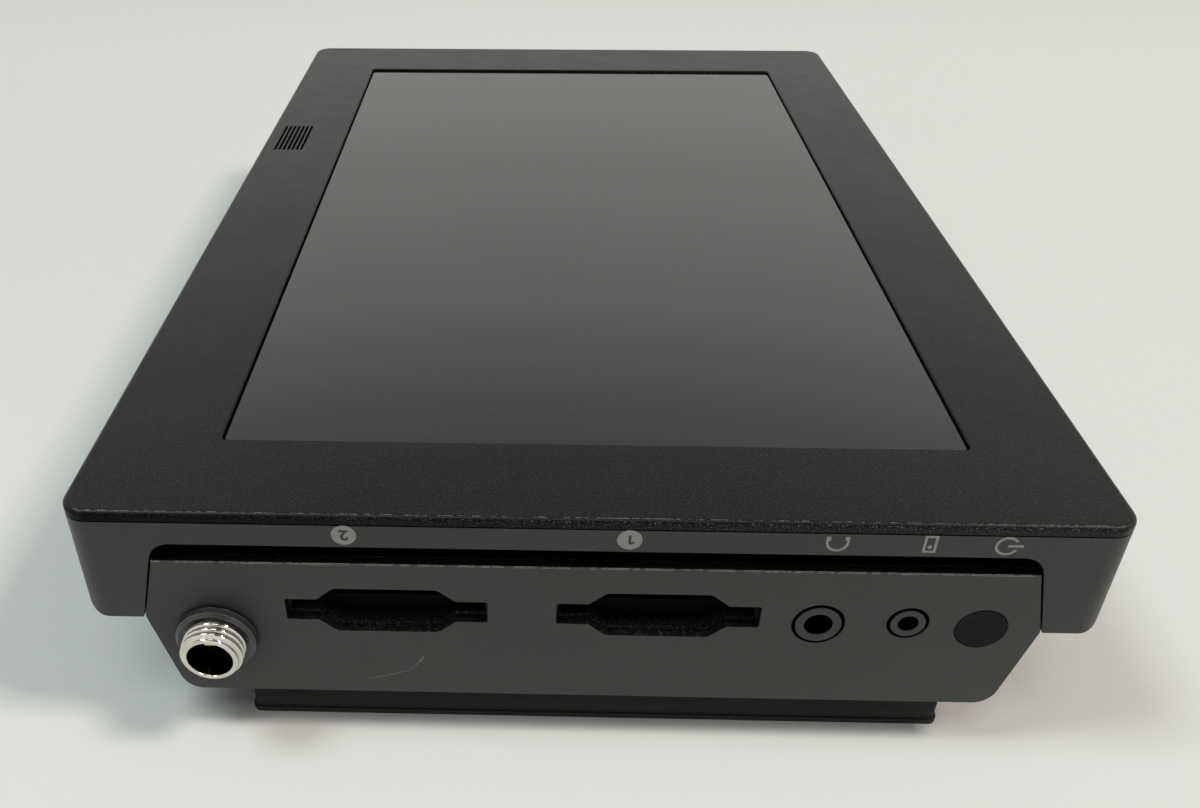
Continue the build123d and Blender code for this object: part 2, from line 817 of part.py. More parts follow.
def socket_tongues():
    """Contact tongues in the video and data sockets."""
    half = tongue_thickness / 2
    tongues = []
    for x in hdmi_x:
        z = z_board_top + 0.62 * hdmi_height
        back = y_face - hdmi_depth + port_back
        reach = 0.37 * hdmi_width
        tongues.append(block(x - reach, x + reach, back, y_face - 1.6, z - half, z + half))
    z = z_board_top + usb_height / 2
    back = y_face - usb_depth + port_back
    reach = 0.36 * usb_width
    tongues.append(block(usb_x - reach, usb_x + reach, back, y_face - 0.8, z - 0.7 * half, z + 0.7 * half))
    return tongues


def main_board():
    """Circuit board, cut away round the power socket and the coaxial sockets."""
    half = board_half()
    board = block(-half, half, -y_board, y_board, z_board, z_board_top)
    notch_x = power_x + barrel_radius + 2.6
    board -= block(-half, notch_x, -y_board, -y_board + 12.0, z_board, z_board_top)
    board -= block(-half, sdi_x[1] + sdi_neck + 2.0, y_board - 7.0, y_board, z_board, z_board_top)
    for x, y in post_places():
        board -= rod_z(case_screw + screw_clearance, x, y, z_board, z_board_top)
    return board


def heat_sink():
    """Finned block on the processor."""
    z_low = z_board_top + chip_thickness
    half = sink_size / 2
    sink = block(-half, half, chip_y - half, chip_y + half, z_low, z_low + sink_base)
    pitch = (sink_size - fin_thickness) / (fin_count - 1)
    for index in range(fin_count):
        y = chip_y - half + index * pitch
        sink += block(-half, half, y, y + fin_thickness, z_low + sink_base, z_low + sink_height)
    return sink


def fan_frame():
    """Square fan frame with three arms, a hub plate and the bearing pin."""
    z_low = z_floor
    frame = plate(fan_size, fan_size, 3.0, z_low, z_low + fan_height, 0, fan_y)
    frame -= rod_z(fan_bore, 0, fan_y, z_low, z_low + fan_height)
    arm = block(0, fan_bore + 0.5, -arm_width / 2, arm_width / 2, z_low, z_low + arm_thickness)
    for index in range(fan_arms):
        frame += Pos(0, fan_y, 0) * Rot(0, 0, 90 + 360 * index / fan_arms) * arm
    frame += rod_z(fan_hub, 0, fan_y, z_low, z_low + arm_thickness)
    frame += rod_z(fan_pin, 0, fan_y, z_low, z_low + fan_height - 1.2)
    z_high = z_low + fan_height
    for x, y in fan_screw_places():
        frame -= rod_z(case_screw + screw_clearance, x, y, z_low, z_high)
        frame -= rod_z(case_head + screw_clearance, x, y, z_high - head_height, z_high)
    return frame


def fan_screw_places():
    offset = fan_size / 2 - fan_screw_inset
    return [(x, fan_y + y) for x in mirrored([offset]) for y in mirrored([offset])]


def fan_rotor():
    """Hub and pitched blades, turning on the frame's pin."""
    z_low = z_floor + 1.2
    z_high = z_floor + fan_height - 0.4
    hub = Cylinder(fan_hub, z_high - z_low, align=(Align.CENTER, Align.CENTER, Align.MIN))
    tip = fan_bore - fan_tip_gap
    middle = (z_high - z_low) / 2
    root_plane = Plane(origin=(fan_hub - 1.5, 0, middle), x_dir=(0, 1, 0), z_dir=(1, 0, 0))
    tip_plane = Plane(origin=(tip, 0, middle), x_dir=(0, 1, 0), z_dir=(1, 0, 0))
    root = root_plane * Rot(0, 0, 38) * Rectangle(5.2, 0.9)
    end = tip_plane * Rot(0, 0, 24) * Rectangle(8.4, 0.7)
    blade = loft([root, end])
    rotor = hub
    for index in range(blade_count):
        rotor += Rot(0, 0, index * 360 / blade_count) * blade
    rotor -= rod_z(fan_pin + fan_clearance, 0, 0, 0, z_high - z_low - 0.5)
    return Pos(0, fan_y, z_low) * rotor


def grille_slot_places():
    pitch = (grille_width - 2 * grille_border) / (grille_slots - 1)
    return [deck_x + (index - (grille_slots - 1) / 2) * pitch for index in range(grille_slots)]


def vent_grille(side):
    """Slotted plate lying on a ledge in the battery deck."""
    y = side * grille_y
    z_high = grille_drop + grille_thickness
    grille = plate(grille_width, grille_length, grille_radius, grille_drop, z_high, deck_x, y)
    slot = Rot(0, 0, 90) * SlotOverall(grille_length - 2 * grille_tip, grille_slot)
    for x in grille_slot_places():
        grille -= extrude(Pos(x, y, grille_drop) * slot, grille_thickness)
    return grille


def battery_deck():
    """Rear deck with two battery bays, undercut hooks, vents and a foot flange."""
    deck = plate(deck_width, deck_length, deck_radius, 0, deck_height, deck_x)
    deck += plate(deck_width + 2 * foot_flange, deck_length + 2 * foot_flange,
                  deck_radius + foot_flange, 0, foot_flange_height, deck_x)
    for y in bays_y:
        deck -= plate(bay_length, bay_width, bay_radius, 0, bay_depth, deck_x, y)
        for side in (-1, 1):
            wall_y = y + side * bay_width / 2
            reach = sorted((wall_y + side * hook_root, wall_y - side * hook_reach))
            for x in hook_places():
                deck += block(x, x + hook_length, *reach, hook_drop, hook_drop + hook_thickness)
        well_x = latch_length / 2 + latch_clearance
        well_y = latch_width / 2 + latch_clearance
        deck -= block(latch_x - well_x, latch_x + well_x, y - well_y, y + well_y, bay_depth, deck_height)
    for side in (-1, 1):
        y = side * grille_y
        wide = grille_width + 2 * grille_clearance
        long = grille_length + 2 * grille_clearance
        ledge = 2 * (grille_ledge + grille_clearance)
        radius = grille_radius + grille_clearance
        deck -= plate(wide - ledge, long - ledge, grille_radius / 2, 0, deck_height, deck_x, y)
        deck -= plate(wide, long, radius, grille_drop, deck_height, deck_x, y)
    for x, y in deck_screw_places():
        deck -= rod_z(deck_screw + screw_clearance, x, y, 0, deck_height)
        deck -= rod_z(deck_head + screw_clearance, x, y, 0, head_height + deck_head_inset)
    return deck


def hook_places():
    return (bay_x[0] + hook_start, bay_x[0] + hook_start + hook_pitch)


def contact_block(y):
    """Raised block at the bottom end of a bay that holds the contact blades."""
    x_low = bay_x[0]
    half = contact_width / 2
    body = block(x_low, x_low + contact_length, y - half, y + half, bay_depth - contact_height, bay_depth)
    front_edge = body.edges().filter_by(Axis.Y).group_by(Axis.Z)[0].sort_by(Axis.X)[-1]
    return chamfer(front_edge, contact_slope)


def contact_blades():
    """Three sprung blades in front of each contact block."""
    blades = []
    x_low = bay_x[0] + contact_length
    x_high = x_low + blade_reach
    z_low = bay_depth - contact_height + 1.2
    half = blade_thickness / 2
    for bay_y in bays_y:
        for y in (bay_y - blade_pitch, bay_y, bay_y + blade_pitch):
            blade = block(x_low, x_high, y - half, y + half, z_low, bay_depth - 0.4)
            blades.append(chamfer(blade.edges().filter_by(Axis.Z).group_by(Axis.X)[-1], 0.25))
    return blades


def guide_size():
    """Outer size of a latch guide, across and along the body's width."""
    width = latch_width + 2 * (latch_flange + latch_clearance + guide_wall)
    length = latch_length + 2 * (latch_clearance + guide_wall)
    return width, length


def battery_latch(y):
    """Release latch: thumb pad, locking tab with a ramp, and a flange that stops it."""
    x_low = latch_x - latch_length / 2
    x_high = latch_x + latch_length / 2
    half = latch_width / 2
    tab_face = bay_depth - latch_travel
    pad_face = bay_depth - pad_drop
    x_ramp = x_low + tab_flat + tab_ramp
    profile = [(x_low, deck_height), (x_low, tab_face), (x_low + tab_flat, tab_face), (x_ramp, pad_face),
               (x_high, pad_face), (x_high, deck_height)]
    latch = across_y(make_face(Polyline(*profile, close=True)), y - half, y + half)
    for index in range(latch_ridges):
        x = x_ramp + ridge_pitch * (index + 1)
        latch -= block(x, x + ridge_width, y - half, y + half, pad_face, pad_face + ridge_depth)
    wide = half + latch_flange
    return latch + block(x_low, x_high, y - wide, y + wide, deck_height, deck_height + latch_plate)


def latch_guide(y):
    """Open box over a latch that keeps it upright and backs its spring."""
    width, length = guide_size()
    height = guide_top - deck_height
    outer = Box(length, width, height, align=(Align.CENTER, Align.CENTER, Align.MIN))
    inner = Box(length - 2 * guide_wall, width - 2 * guide_wall, height - guide_wall,
                align=(Align.CENTER, Align.CENTER, Align.MIN))
    return Pos(latch_x, y, deck_height) * (outer - inner)


def latch_spring(y):
    z_low = deck_height + latch_plate + spring_wire + spring_gap
    z_high = guide_top - guide_wall - spring_wire - spring_gap
    path = Helix(pitch=(z_high - z_low) / spring_turns, height=z_high - z_low, radius=spring_radius)
    section = Plane(origin=path @ 0, z_dir=path % 0) * Circle(spring_wire)
    coil = sweep(section, path=path, is_frenet=True)
    return Pos(latch_x, y, z_low) * coil


def tripod_inserts():
    """Plain-bored bushes for quarter-inch screws, three on each long edge."""
    inserts = []
    for side, y in insert_places():
        reach = sorted((side * (body_width / 2 - insert_length), side * body_width / 2))
        bush = rod_x(insert_radius, y, tripod_z, *reach)
        inserts.append(bush - rod_x(tripod_radius, y, tripod_z, *reach))
    return inserts


def screw(x, y, z_head, z_tip, shank, head):
    """Cap screw standing on Z, its head at z_head and its tip at z_tip."""
    up = 1 if z_head > z_tip else -1
    seat = z_head - up * head_height
    body = rod_z(shank, x, y, *sorted((z_tip, seat)))
    body += rod_z(head, x, y, *sorted((seat, z_head)))
    drive = RegularPolygon(head * 0.5, 6)
    socket = extrude(Pos(x, y, z_head) * drive, -up * head_height * 0.6)
    return body - socket


def case_screws():
    return [screw(x, y, z_waist, z_under + 0.6, case_screw, case_head) for x, y in boss_places()]


def tab_screws():
    return [screw(side * tab_x, y, tab_top + head_height, z_waist + 0.8, case_screw, case_head)
            for side, y in tab_places()]


def board_screws():
    z_head = z_board_top + head_height
    return [screw(x, y, z_head, z_floor + 2.0, case_screw, case_head) for x, y in post_places()]


def fan_screws():
    z_high = z_floor + fan_height
    return [screw(x, y, z_high, z_rear + 0.6, case_screw, case_head) for x, y in fan_screw_places()]


def deck_screws():
    z_tip = z_floor + deck_boss_rise - 1.0
    return [screw(x, y, deck_head_inset, z_tip, deck_screw, deck_head) for x, y in deck_screw_places()]


def clock_cell():
    x = cell_inset - board_half()
    return rod_z(cell_radius, x, cell_y, z_board_top, z_board_top + cell_height)


def processor():
    half = chip_size / 2
    return block(-half, half, chip_y - half, chip_y + half, z_board_top, z_board_top + chip_thickness)


nodes = {
    "front_bezel": front_bezel(),
    "screen_glass": screen_glass(),
    "lcd_panel": display_layer(z_lcd, z_lcd + lcd_thickness, 0.0),
    "backlight": display_layer(z_light, z_lcd, 0.8),
    "display_bracket": display_bracket(),
    "display_ribbon": display_ribbon(),
    "ribbon_socket": ribbon_socket(),
    "speaker": speaker(),
    "housing_frame": housing_frame(),
    "rear_cover": rear_cover(),
    "port_panel": port_panel(),
    "connector_panel": connector_panel(),
    "headphone_jack": round_jack(headphone_x, headphone_height, headphone_collar, headphone_bore,
                                 headphone_depth, headphone_body),
    "remote_jack": round_jack(remote_x, remote_height, remote_collar, remote_bore, remote_depth, remote_body),
    "power_button": power_button(),
    "switch_plunger": switch_plunger(),
    "power_switch": power_switch(),
    "power_barrel": power_barrel(),
    "power_nut": power_nut(),
    "power_socket": power_socket(),
    "power_pin": power_pin(),
    "power_leaf": power_leaf(),
    "usb_socket": usb_socket(),
    "socket_tongues": socket_tongues(),
    "sdi_nuts": [sdi_nut_ring(x) for x in sdi_x],
    "sdi_cores": [sdi_core(x) for x in sdi_x],
    "main_board": main_board(),
    "processor": processor(),
    "heat_sink": heat_sink(),
    "clock_cell": clock_cell(),
    "fan_frame": fan_frame(),
    "fan_rotor": fan_rotor(),
    "battery_deck": battery_deck(),
    "contact_blades": contact_blades(),
    "tripod_inserts": tripod_inserts(),
    "case_screws": case_screws(),
    "tab_screws": tab_screws(),
    "board_screws": board_screws(),
    "fan_screws": fan_screws(),
    "deck_screws": deck_screws(),
}
for number, x in enumerate(card_x, start=1):
    nodes[f"card_guide_{number}"] = card_guide(x)
    nodes[f"card_reader_{number}"] = card_reader(x)
for number, x in enumerate(sdi_x, start=1):
    nodes[f"sdi_socket_{number}"] = sdi_socket(x)
for number, x in enumerate(hdmi_x, start=1):
    nodes[f"hdmi_socket_{number}"] = hdmi_socket(x)
for number, y in enumerate(bays_y, start=1):
    nodes[f"contact_block_{number}"] = contact_block(y)
    nodes[f"battery_latch_{number}"] = battery_latch(y)
    nodes[f"latch_guide_{number}"] = latch_guide(y)
    nodes[f"latch_spring_{number}"] = latch_spring(y)
for number, side in enumerate((-1, 1), start=1):
    nodes[f"vent_grille_{number}"] = vent_grille(side)

for name, shape in nodes.items():
    solid = Compound(children=shape) if isinstance(shape, list) else shape
    export_step(solid, f"parts/{name}.step")
print(len(nodes), "nodes written")
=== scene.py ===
# %% [markdown]
# # A recording monitor, lying on its back
#
# The monitor is a flat box of dark plastic. Its solids come from a imported CAD model, which is loaded here as
# a fixed frame: nothing is moved or reshaped. This script adds what CAD leaves out, which is finishes,
# printed signs, a cut thread, contact fingers and wound coil springs, and then a floor, lamps and a
# camera.
#
# Lengths in Blender are in metres. The frame has its origin under the middle of the body, with X to the
# monitor's own top edge, Y to its video side and Z out of its screen.

# %% Load the frame
import json
import math

import bmesh
import bpy
from mathutils import Matrix, Vector


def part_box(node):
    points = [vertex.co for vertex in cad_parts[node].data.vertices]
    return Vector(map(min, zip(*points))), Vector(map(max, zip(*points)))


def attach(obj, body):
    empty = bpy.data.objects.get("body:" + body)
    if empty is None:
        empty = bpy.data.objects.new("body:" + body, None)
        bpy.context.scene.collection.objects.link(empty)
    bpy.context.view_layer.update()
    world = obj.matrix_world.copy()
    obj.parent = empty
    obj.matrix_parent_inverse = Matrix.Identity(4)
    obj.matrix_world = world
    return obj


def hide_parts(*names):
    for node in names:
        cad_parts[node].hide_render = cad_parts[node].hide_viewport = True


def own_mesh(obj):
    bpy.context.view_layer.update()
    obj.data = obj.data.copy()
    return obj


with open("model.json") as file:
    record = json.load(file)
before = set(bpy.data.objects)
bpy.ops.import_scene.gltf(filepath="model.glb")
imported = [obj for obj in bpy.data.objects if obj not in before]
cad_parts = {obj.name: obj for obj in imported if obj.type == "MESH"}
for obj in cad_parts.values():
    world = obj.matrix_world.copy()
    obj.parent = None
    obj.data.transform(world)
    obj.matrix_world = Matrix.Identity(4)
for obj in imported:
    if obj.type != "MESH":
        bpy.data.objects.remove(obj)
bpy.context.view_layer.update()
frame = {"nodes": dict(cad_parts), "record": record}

nodes = frame["nodes"]

# %% [markdown]
# ## The camera
#
# The photograph is a close wide-angle view from the port side. Its place, its turn and its lens were solved
# from the straight edges of the body. The camera's own axes are right, up and backwards, so the solved turn
# (right, forward, up) only needs its columns put in Blender's order.

# %% Place the camera
MM = 0.001
camera_place = Vector((-7.333, -190.586, 122.631)) * MM
camera_yaw = math.radians(1.616)
camera_pitch = math.radians(-33.857)
camera_roll = math.radians(0.151)
body_middle = Vector((0, 0, 0.02))

turn = Matrix.Rotation(camera_yaw, 3, "Z") @ Matrix.Rotation(camera_pitch, 3, "X")
turn = turn @ Matrix.Rotation(camera_roll, 3, "Y")
right, forward, up = turn.col
camera = bpy.data.objects.new("camera", bpy.data.cameras.new("camera"))
bpy.context.scene.collection.objects.link(camera)
camera.matrix_world = Matrix.Translation(camera_place) @ Matrix((right, up, -forward)).transposed().to_4x4()
camera.data.sensor_width = 36.0
camera.data.lens = 32.74
camera.data.shift_x = 0.0766
camera.data.shift_y = -0.0126
camera.data.clip_start = 0.01
bpy.context.scene.camera = camera
print("camera", round((camera_place - body_middle).length, 3), "m from the monitor")

# %% [markdown]
# ## Helpers for shader nodes
#
# Every finish below is a small network of nodes. One helper keeps each of them on a line: it adds a node,
# sets its properties, and fills its sockets. A socket that is given another socket is linked to it, and one
# that is given a number or a colour just holds it. The other helpers name the few sums that come back often.


# %% Add a node in one line
def add(tree, kind, inputs=None, **settings):
    made = tree.nodes.new(kind)
    for key, value in settings.items():
        setattr(made, key, value)
    for key, value in (inputs or {}).items():
        if isinstance(value, bpy.types.NodeSocket):
            tree.links.new(value, made.inputs[key])
        else:
            made.inputs[key].default_value = value
    return made


def calculate(tree, operation, *values):
    """A Math node: its values are numbers or sockets."""
    return add(tree, "ShaderNodeMath", dict(enumerate(values)), operation=operation).outputs[0]


def product(tree, first, *others):
    """Multiplies masks, so that only what lies in all of them is left."""
    for other in others:
        first = calculate(tree, "MULTIPLY", first, other)
    return first


def remap(tree, value, low, high, to_low=0.0, to_high=1.0):
    """Stretches the part of a value between low and high to a new range, and holds it at both ends."""
    sockets = {"Value": value, "From Min": low, "From Max": high, "To Min": to_low, "To Max": to_high}
    return add(tree, "ShaderNodeMapRange", sockets).outputs[0]


def mix_values(tree, factor, first, second):
    """Mixes two numbers by a factor from 0 to 1."""
    return add(tree, "ShaderNodeMix", {0: factor, 2: first, 3: second}).outputs[0]


def blend(tree, factor, first, second):
    """Mixes two colours by a factor from 0 to 1."""
    return add(tree, "ShaderNodeMix", {0: factor, 6: first, 7: second}, data_type="RGBA").outputs[2]


def rgb(red, green, blue):
    """A colour as the sockets take it."""
    return (red, green, blue, 1.0)


BLACK = rgb(0, 0, 0)

# %% [markdown]
# A finish often depends on where a point is, on which way its surface faces, or on chance. Object coordinates
# are the frame's own metres here, because no piece is moved from its place.


# %% Read places, facings and noise
def object_place(tree):
    """Where the point is."""
    return add(tree, "ShaderNodeTexCoord").outputs["Object"]


def axes_of(tree, vector):
    """The X, Y and Z of a vector."""
    return add(tree, "ShaderNodeSeparateXYZ", {0: vector}).outputs


def surface_axes(tree):
    """The X, Y and Z of the direction that the surface faces."""
    return axes_of(tree, add(tree, "ShaderNodeNewGeometry").outputs["Normal"])


def distance_from(tree, place, centre):
    """How far a place is from a fixed centre."""
    return add(tree, "ShaderNodeVectorMath", {0: place, 1: centre}, operation="DISTANCE").outputs["Value"]


def noise(tree, scale, detail, place=None):
    """Clouds with values from 0 to 1. A higher scale makes them smaller."""
    if place is None:
        place = object_place(tree)
    return add(tree, "ShaderNodeTexNoise", {"Vector": place, "Scale": scale, "Detail": detail}).outputs[0]


def stripes(tree, scale, direction):
    """Even bands across X or Y."""
    sockets = {"Vector": object_place(tree), "Scale": scale}
    return add(tree, "ShaderNodeTexWave", sockets, bands_direction=direction).outputs[1]


def seen_directly(tree):
    """1 for rays of the camera, of gloss and through glass, and 0 for those that light matt surfaces."""
    rays = add(tree, "ShaderNodeLightPath").outputs
    seen = calculate(tree, "MAXIMUM", rays["Is Camera Ray"], rays["Is Glossy Ray"])
    return calculate(tree, "MAXIMUM", seen, rays["Is Transmission Ray"])


# %% [markdown]
# ## Light and floor
#
# The photograph was taken on a pale table under soft room light. Glossy surfaces and the camera see the world
# near white, as they would see a bright room. Matt surfaces take far less of it, and mostly from above,
# because the photograph is nearly black under the module.
#
# The room itself isn't even. Its walls are brightest a little less than 30 degrees up and dimmer above, and a
# dark stretch stands on the near side, a little to the right. Only gloss shows these. The height is read from
# the direction of a ray: its Z is 0 level and 1 straight up. The Standard view transform shows colours as
# they are written.

# %% Light the room
bpy.context.scene.view_settings.view_transform = "Standard"
room_white = rgb(1.0, 0.995, 0.955)
room_dark = rgb(0.10, 0.09, 0.08)
dark_middle = 0.10

world = bpy.data.worlds.new("room")
bpy.context.scene.world = world
world.use_nodes = True
tree = world.node_tree
tree.nodes.clear()
rays = add(tree, "ShaderNodeLightPath").outputs
towards = axes_of(tree, add(tree, "ShaderNodeTexCoord").outputs["Generated"])
beside = calculate(tree, "ABSOLUTE", calculate(tree, "SUBTRACT", towards["X"], dark_middle))
dark = product(tree, remap(tree, beside, 0.30, 0.16), remap(tree, towards["Y"], 0.05, -0.10),
               remap(tree, towards["Z"], 0.36, 0.50), rays["Is Glossy Ray"])
room = blend(tree, dark, room_white, room_dark)
low_wall = remap(tree, towards["Z"], 0.30, 0.46, 0.93, 1.04)
high_wall = remap(tree, towards["Z"], 0.48, 0.60, 0.0, -0.38)
wall = calculate(tree, "MAXIMUM", calculate(tree, "ADD", low_wall, high_wall), rays["Is Camera Ray"])
above = remap(tree, towards["Z"], 0.0, 1.0, 0.02, 0.30)
soft = add(tree, "ShaderNodeBackground", {"Color": rgb(1.0, 1.0, 0.98), "Strength": above}).outputs[0]
white = add(tree, "ShaderNodeBackground", {"Color": room, "Strength": wall}).outputs[0]
mixed = add(tree, "ShaderNodeMixShader", {0: seen_directly(tree), 1: soft, 2: white}).outputs[0]
add(tree, "ShaderNodeOutputWorld", {"Surface": mixed})
print("world light in place")

# %% [markdown]
# Soft lamps do the rest. The places of the two side lamps were read from the photograph: the body's shadow
# ends 28 mm from its left edge and 21 mm from its right edge, and the body is 38 mm high. A weak third lamp
# in front lifts the port side. Each is a square softbox that looks at the middle of the monitor's resting
# face.


# %% Hang the lamps
def softbox(name, azimuth, elevation, distance, side, power, colour):
    """A square lamp that looks at the monitor. Azimuth is measured from +X towards +Y."""
    lamp = bpy.data.lights.new(name, "AREA")
    lamp.color = colour
    lamp.shape = "SQUARE"
    lamp.size = side
    lamp.energy = power
    stand = bpy.data.objects.new(name, lamp)
    bpy.context.scene.collection.objects.link(stand)
    flat = math.cos(math.radians(elevation))
    away = Vector((math.cos(math.radians(azimuth)) * flat, math.sin(math.radians(azimuth)) * flat,
                   math.sin(math.radians(elevation))))
    stand.location = away * distance
    stand.rotation_euler = away.to_track_quat("Z", "Y").to_euler()


softbox("lamp_right", -16, 53, 2.0, side=0.36, power=19.0, colour=(1.0, 0.88, 0.80))
softbox("lamp_left", 194, 63, 2.0, side=0.50, power=13.0, colour=(0.87, 1.0, 0.975))
softbox("lamp_front", -92, 62, 0.8, side=0.24, power=0.95, colour=(1.0, 1.0, 0.98))
print("three lamps in place")

# %% [markdown]
# The floor is a pale table. Painted light makes it paler near the port side and behind the monitor, and a
# little greyer between.
# It keeps the monitor's shadow near the middle. Further out the lamps grow weak, so there it fades, for the
# camera and for gloss only, into an even pale tone that meets the white of the room.

# %% Lay the floor
floor_half = 3.0
floor_z = -0.00005
painted_light_spot = (0.0, -0.14, 0.0)

mesh = bpy.data.meshes.new("floor")
corners = [(-floor_half, -floor_half, floor_z), (floor_half, -floor_half, floor_z),
           (floor_half, floor_half, floor_z), (-floor_half, floor_half, floor_z)]
mesh.from_pydata(corners, [], [(0, 1, 2, 3)])
floor = bpy.data.objects.new("floor", mesh)
bpy.context.scene.collection.objects.link(floor)
floor_finish = bpy.data.materials.new("pale_table")
floor_finish.use_nodes = True
mesh.materials.append(floor_finish)
print("floor", 2 * floor_half, "m wide")

# %% [markdown]
# The table's finish mixes a plain matt shader with an even glow by the distance from the middle. The glow is
# only seen by the camera and by gloss, so it puts no light on the monitor.

# %% Colour the table
tree = floor_finish.node_tree
shader = tree.nodes["Principled BSDF"]
shader.inputs["Roughness"].default_value = 0.85
shader.inputs["Specular IOR Level"].default_value = 0.2
place = object_place(tree)
# Painted light: the table is paler round a spot on the port side, with a faint random drift in its tone.
painted_light_falloff = remap(tree, distance_from(tree, place, painted_light_spot), 0.04, 0.30)
drift = remap(tree, noise(tree, 6.0, 3.0, place), 0.35, 0.65, -0.1, 0.1)
greyer = calculate(tree, "ADD", painted_light_falloff, drift)
tint_and_painted_light = blend(tree, greyer, rgb(0.765, 0.78, 0.765), rgb(0.71, 0.73, 0.71))
# Painted light: the table is also paler behind the monitor.
behind = remap(tree, axes_of(tree, place)["Y"], -0.03, 0.22)
tint_and_painted_light = blend(tree, behind, tint_and_painted_light, rgb(0.79, 0.81, 0.79))
tree.links.new(tint_and_painted_light, shader.inputs["Base Color"])
outwards = add(tree, "ShaderNodeVectorMath", {0: place}, operation="LENGTH").outputs["Value"]
pale = blend(tree, remap(tree, outwards, 0.7, 2.6), rgb(0.70, 0.72, 0.68), room_white)
pale = add(tree, "ShaderNodeEmission", {"Color": pale, "Strength": 1.0}).outputs[0]
faded = product(tree, remap(tree, outwards, 0.40, 1.0), seen_directly(tree))
faded = add(tree, "ShaderNodeMixShader", {0: faded, 1: shader.outputs[0], 2: pale}).outputs[0]
tree.links.new(faded, tree.nodes["Material Output"].inputs["Surface"])
print("table coloured")

# %% [markdown]
# ## Effects that finishes share
#
# Moulded plastic, paint and plated metal look different, yet they share a few effects: a grain that breaks
# up highlights, a tone that drifts slowly, a gloss that isn't even, and edges that have been rubbed. Each
# effect is one node group with named inputs, so a finish is a choice of numbers. Sizes are in metres, so a
# grain of 0.0003 is 0.3 mm on every part.


# %% Start a group
def effect(name, takes, gives):
    """An empty node group: takes and gives list its sockets as (name, kind, value) and (name, kind)."""
    group = bpy.data.node_groups.new(name, "ShaderNodeTree")
    for label, kind, value in takes:
        socket = group.interface.new_socket(name=label, in_out="INPUT", socket_type=kind)
        socket.default_value = value
    for label, kind in gives:
        group.interface.new_socket(name=label, in_out="OUTPUT", socket_type=kind)
    return group, group.nodes.new("NodeGroupInput").outputs, group.nodes.new("NodeGroupOutput").inputs


def per(tree, size):
    """The scale of a texture whose features have this size."""
    return calculate(tree, "DIVIDE", 1.0, size)


FLOAT = "NodeSocketFloat"
COLOUR = "NodeSocketColor"
VECTOR = "NodeSocketVector"

# %% [markdown]
# Grain. Textured mould steel leaves small rounded bumps, and rubberised paint dries with fine ones. Noise
# gives the wandering and Voronoi cells give the separate bumps. The peaks come out on their own too. Where a
# finish makes them pale, that is partly wear, as they rub pale first, and partly a painted glint, as they
# catch light.

# %% Grain
grain, given, result = effect("grain", [("Size", FLOAT, 0.0003), ("Bumps", FLOAT, 0.5)],
                              [("Height", FLOAT), ("Peaks", FLOAT)])
place = object_place(grain)
scale = per(grain, given["Size"])
wander = noise(grain, scale, 2.0, place)
cells = add(grain, "ShaderNodeTexVoronoi", {"Vector": place, "Scale": scale}).outputs["Distance"]
domes = calculate(grain, "SUBTRACT", 1.0, cells)
grain.links.new(mix_values(grain, given["Bumps"], wander, domes), result["Height"])
# Peaks: partly wear, partly painted glints, where a finish makes them pale.
spots = noise(grain, product(grain, scale, 1.7), 1.0, place)
grain.links.new(remap(grain, spots, 0.56, 0.74), result["Peaks"])
print("group", grain.name)

# %% [markdown]
# Drifting tone. No moulding is one flat colour, so two close tones drift into each other in soft clouds.

# %% Drifting tone
tone, given, result = effect("tone", [("First", COLOUR, rgb(0.1, 0.1, 0.1)),
                                      ("Second", COLOUR, rgb(0.2, 0.2, 0.2)), ("Size", FLOAT, 0.02)],
                             [("Color", COLOUR)])
cloud = remap(tone, noise(tone, per(tone, given["Size"]), 4.0), 0.35, 0.65)
tone.links.new(blend(tone, cloud, given["First"], given["Second"]), result["Color"])
print("group", tone.name)

# %% [markdown]
# Uneven gloss. Handling leaves a surface a little smoother in some places. The same kind of cloud moves the
# roughness between a low and a high value.

# %% Uneven gloss
gloss, given, result = effect("gloss", [("Low", FLOAT, 0.3), ("High", FLOAT, 0.5), ("Size", FLOAT, 0.01)],
                              [("Roughness", FLOAT)])
cloud = noise(gloss, per(gloss, given["Size"]), 5.0)
gloss.links.new(remap(gloss, cloud, 0.3, 0.7, given["Low"], given["High"]), result["Roughness"])
print("group", gloss.name)

# %% [markdown]
# Rubbed edges and painted edge highlights. A Bevel node rounds the normal near an edge, so where it differs
# from the true normal there is an edge. Noise then breaks the line up, as handling does. A pale colour on this
# mask is partly wear and partly a painted highlight.

# %% Rubbed edges and painted edge highlights
edge_wear_and_highlight, given, result = effect("edge_wear_and_highlight", [("Width", FLOAT, 0.0002), ("Patch", FLOAT, 0.002),
                                        ("Keep", FLOAT, 0.5)], [("Mask", FLOAT)])
rounded = add(edge_wear_and_highlight, "ShaderNodeBevel", {"Radius": given["Width"]}, samples=4).outputs[0]
true_normal = add(edge_wear_and_highlight, "ShaderNodeNewGeometry").outputs["Normal"]
same = add(edge_wear_and_highlight, "ShaderNodeVectorMath", {0: rounded, 1: true_normal}, operation="DOT_PRODUCT")
line = remap(edge_wear_and_highlight, same.outputs["Value"], 0.995, 0.9)
patches = noise(edge_wear_and_highlight, per(edge_wear_and_highlight, given["Patch"]), 4.0)
missing = calculate(edge_wear_and_highlight, "SUBTRACT", 1.0, given["Keep"])
kept = remap(edge_wear_and_highlight, patches, missing, calculate(edge_wear_and_highlight, "ADD", missing, 0.08))
edge_wear_and_highlight.links.new(product(edge_wear_and_highlight, line, kept), result["Mask"])
print("group", edge_wear_and_highlight.name)

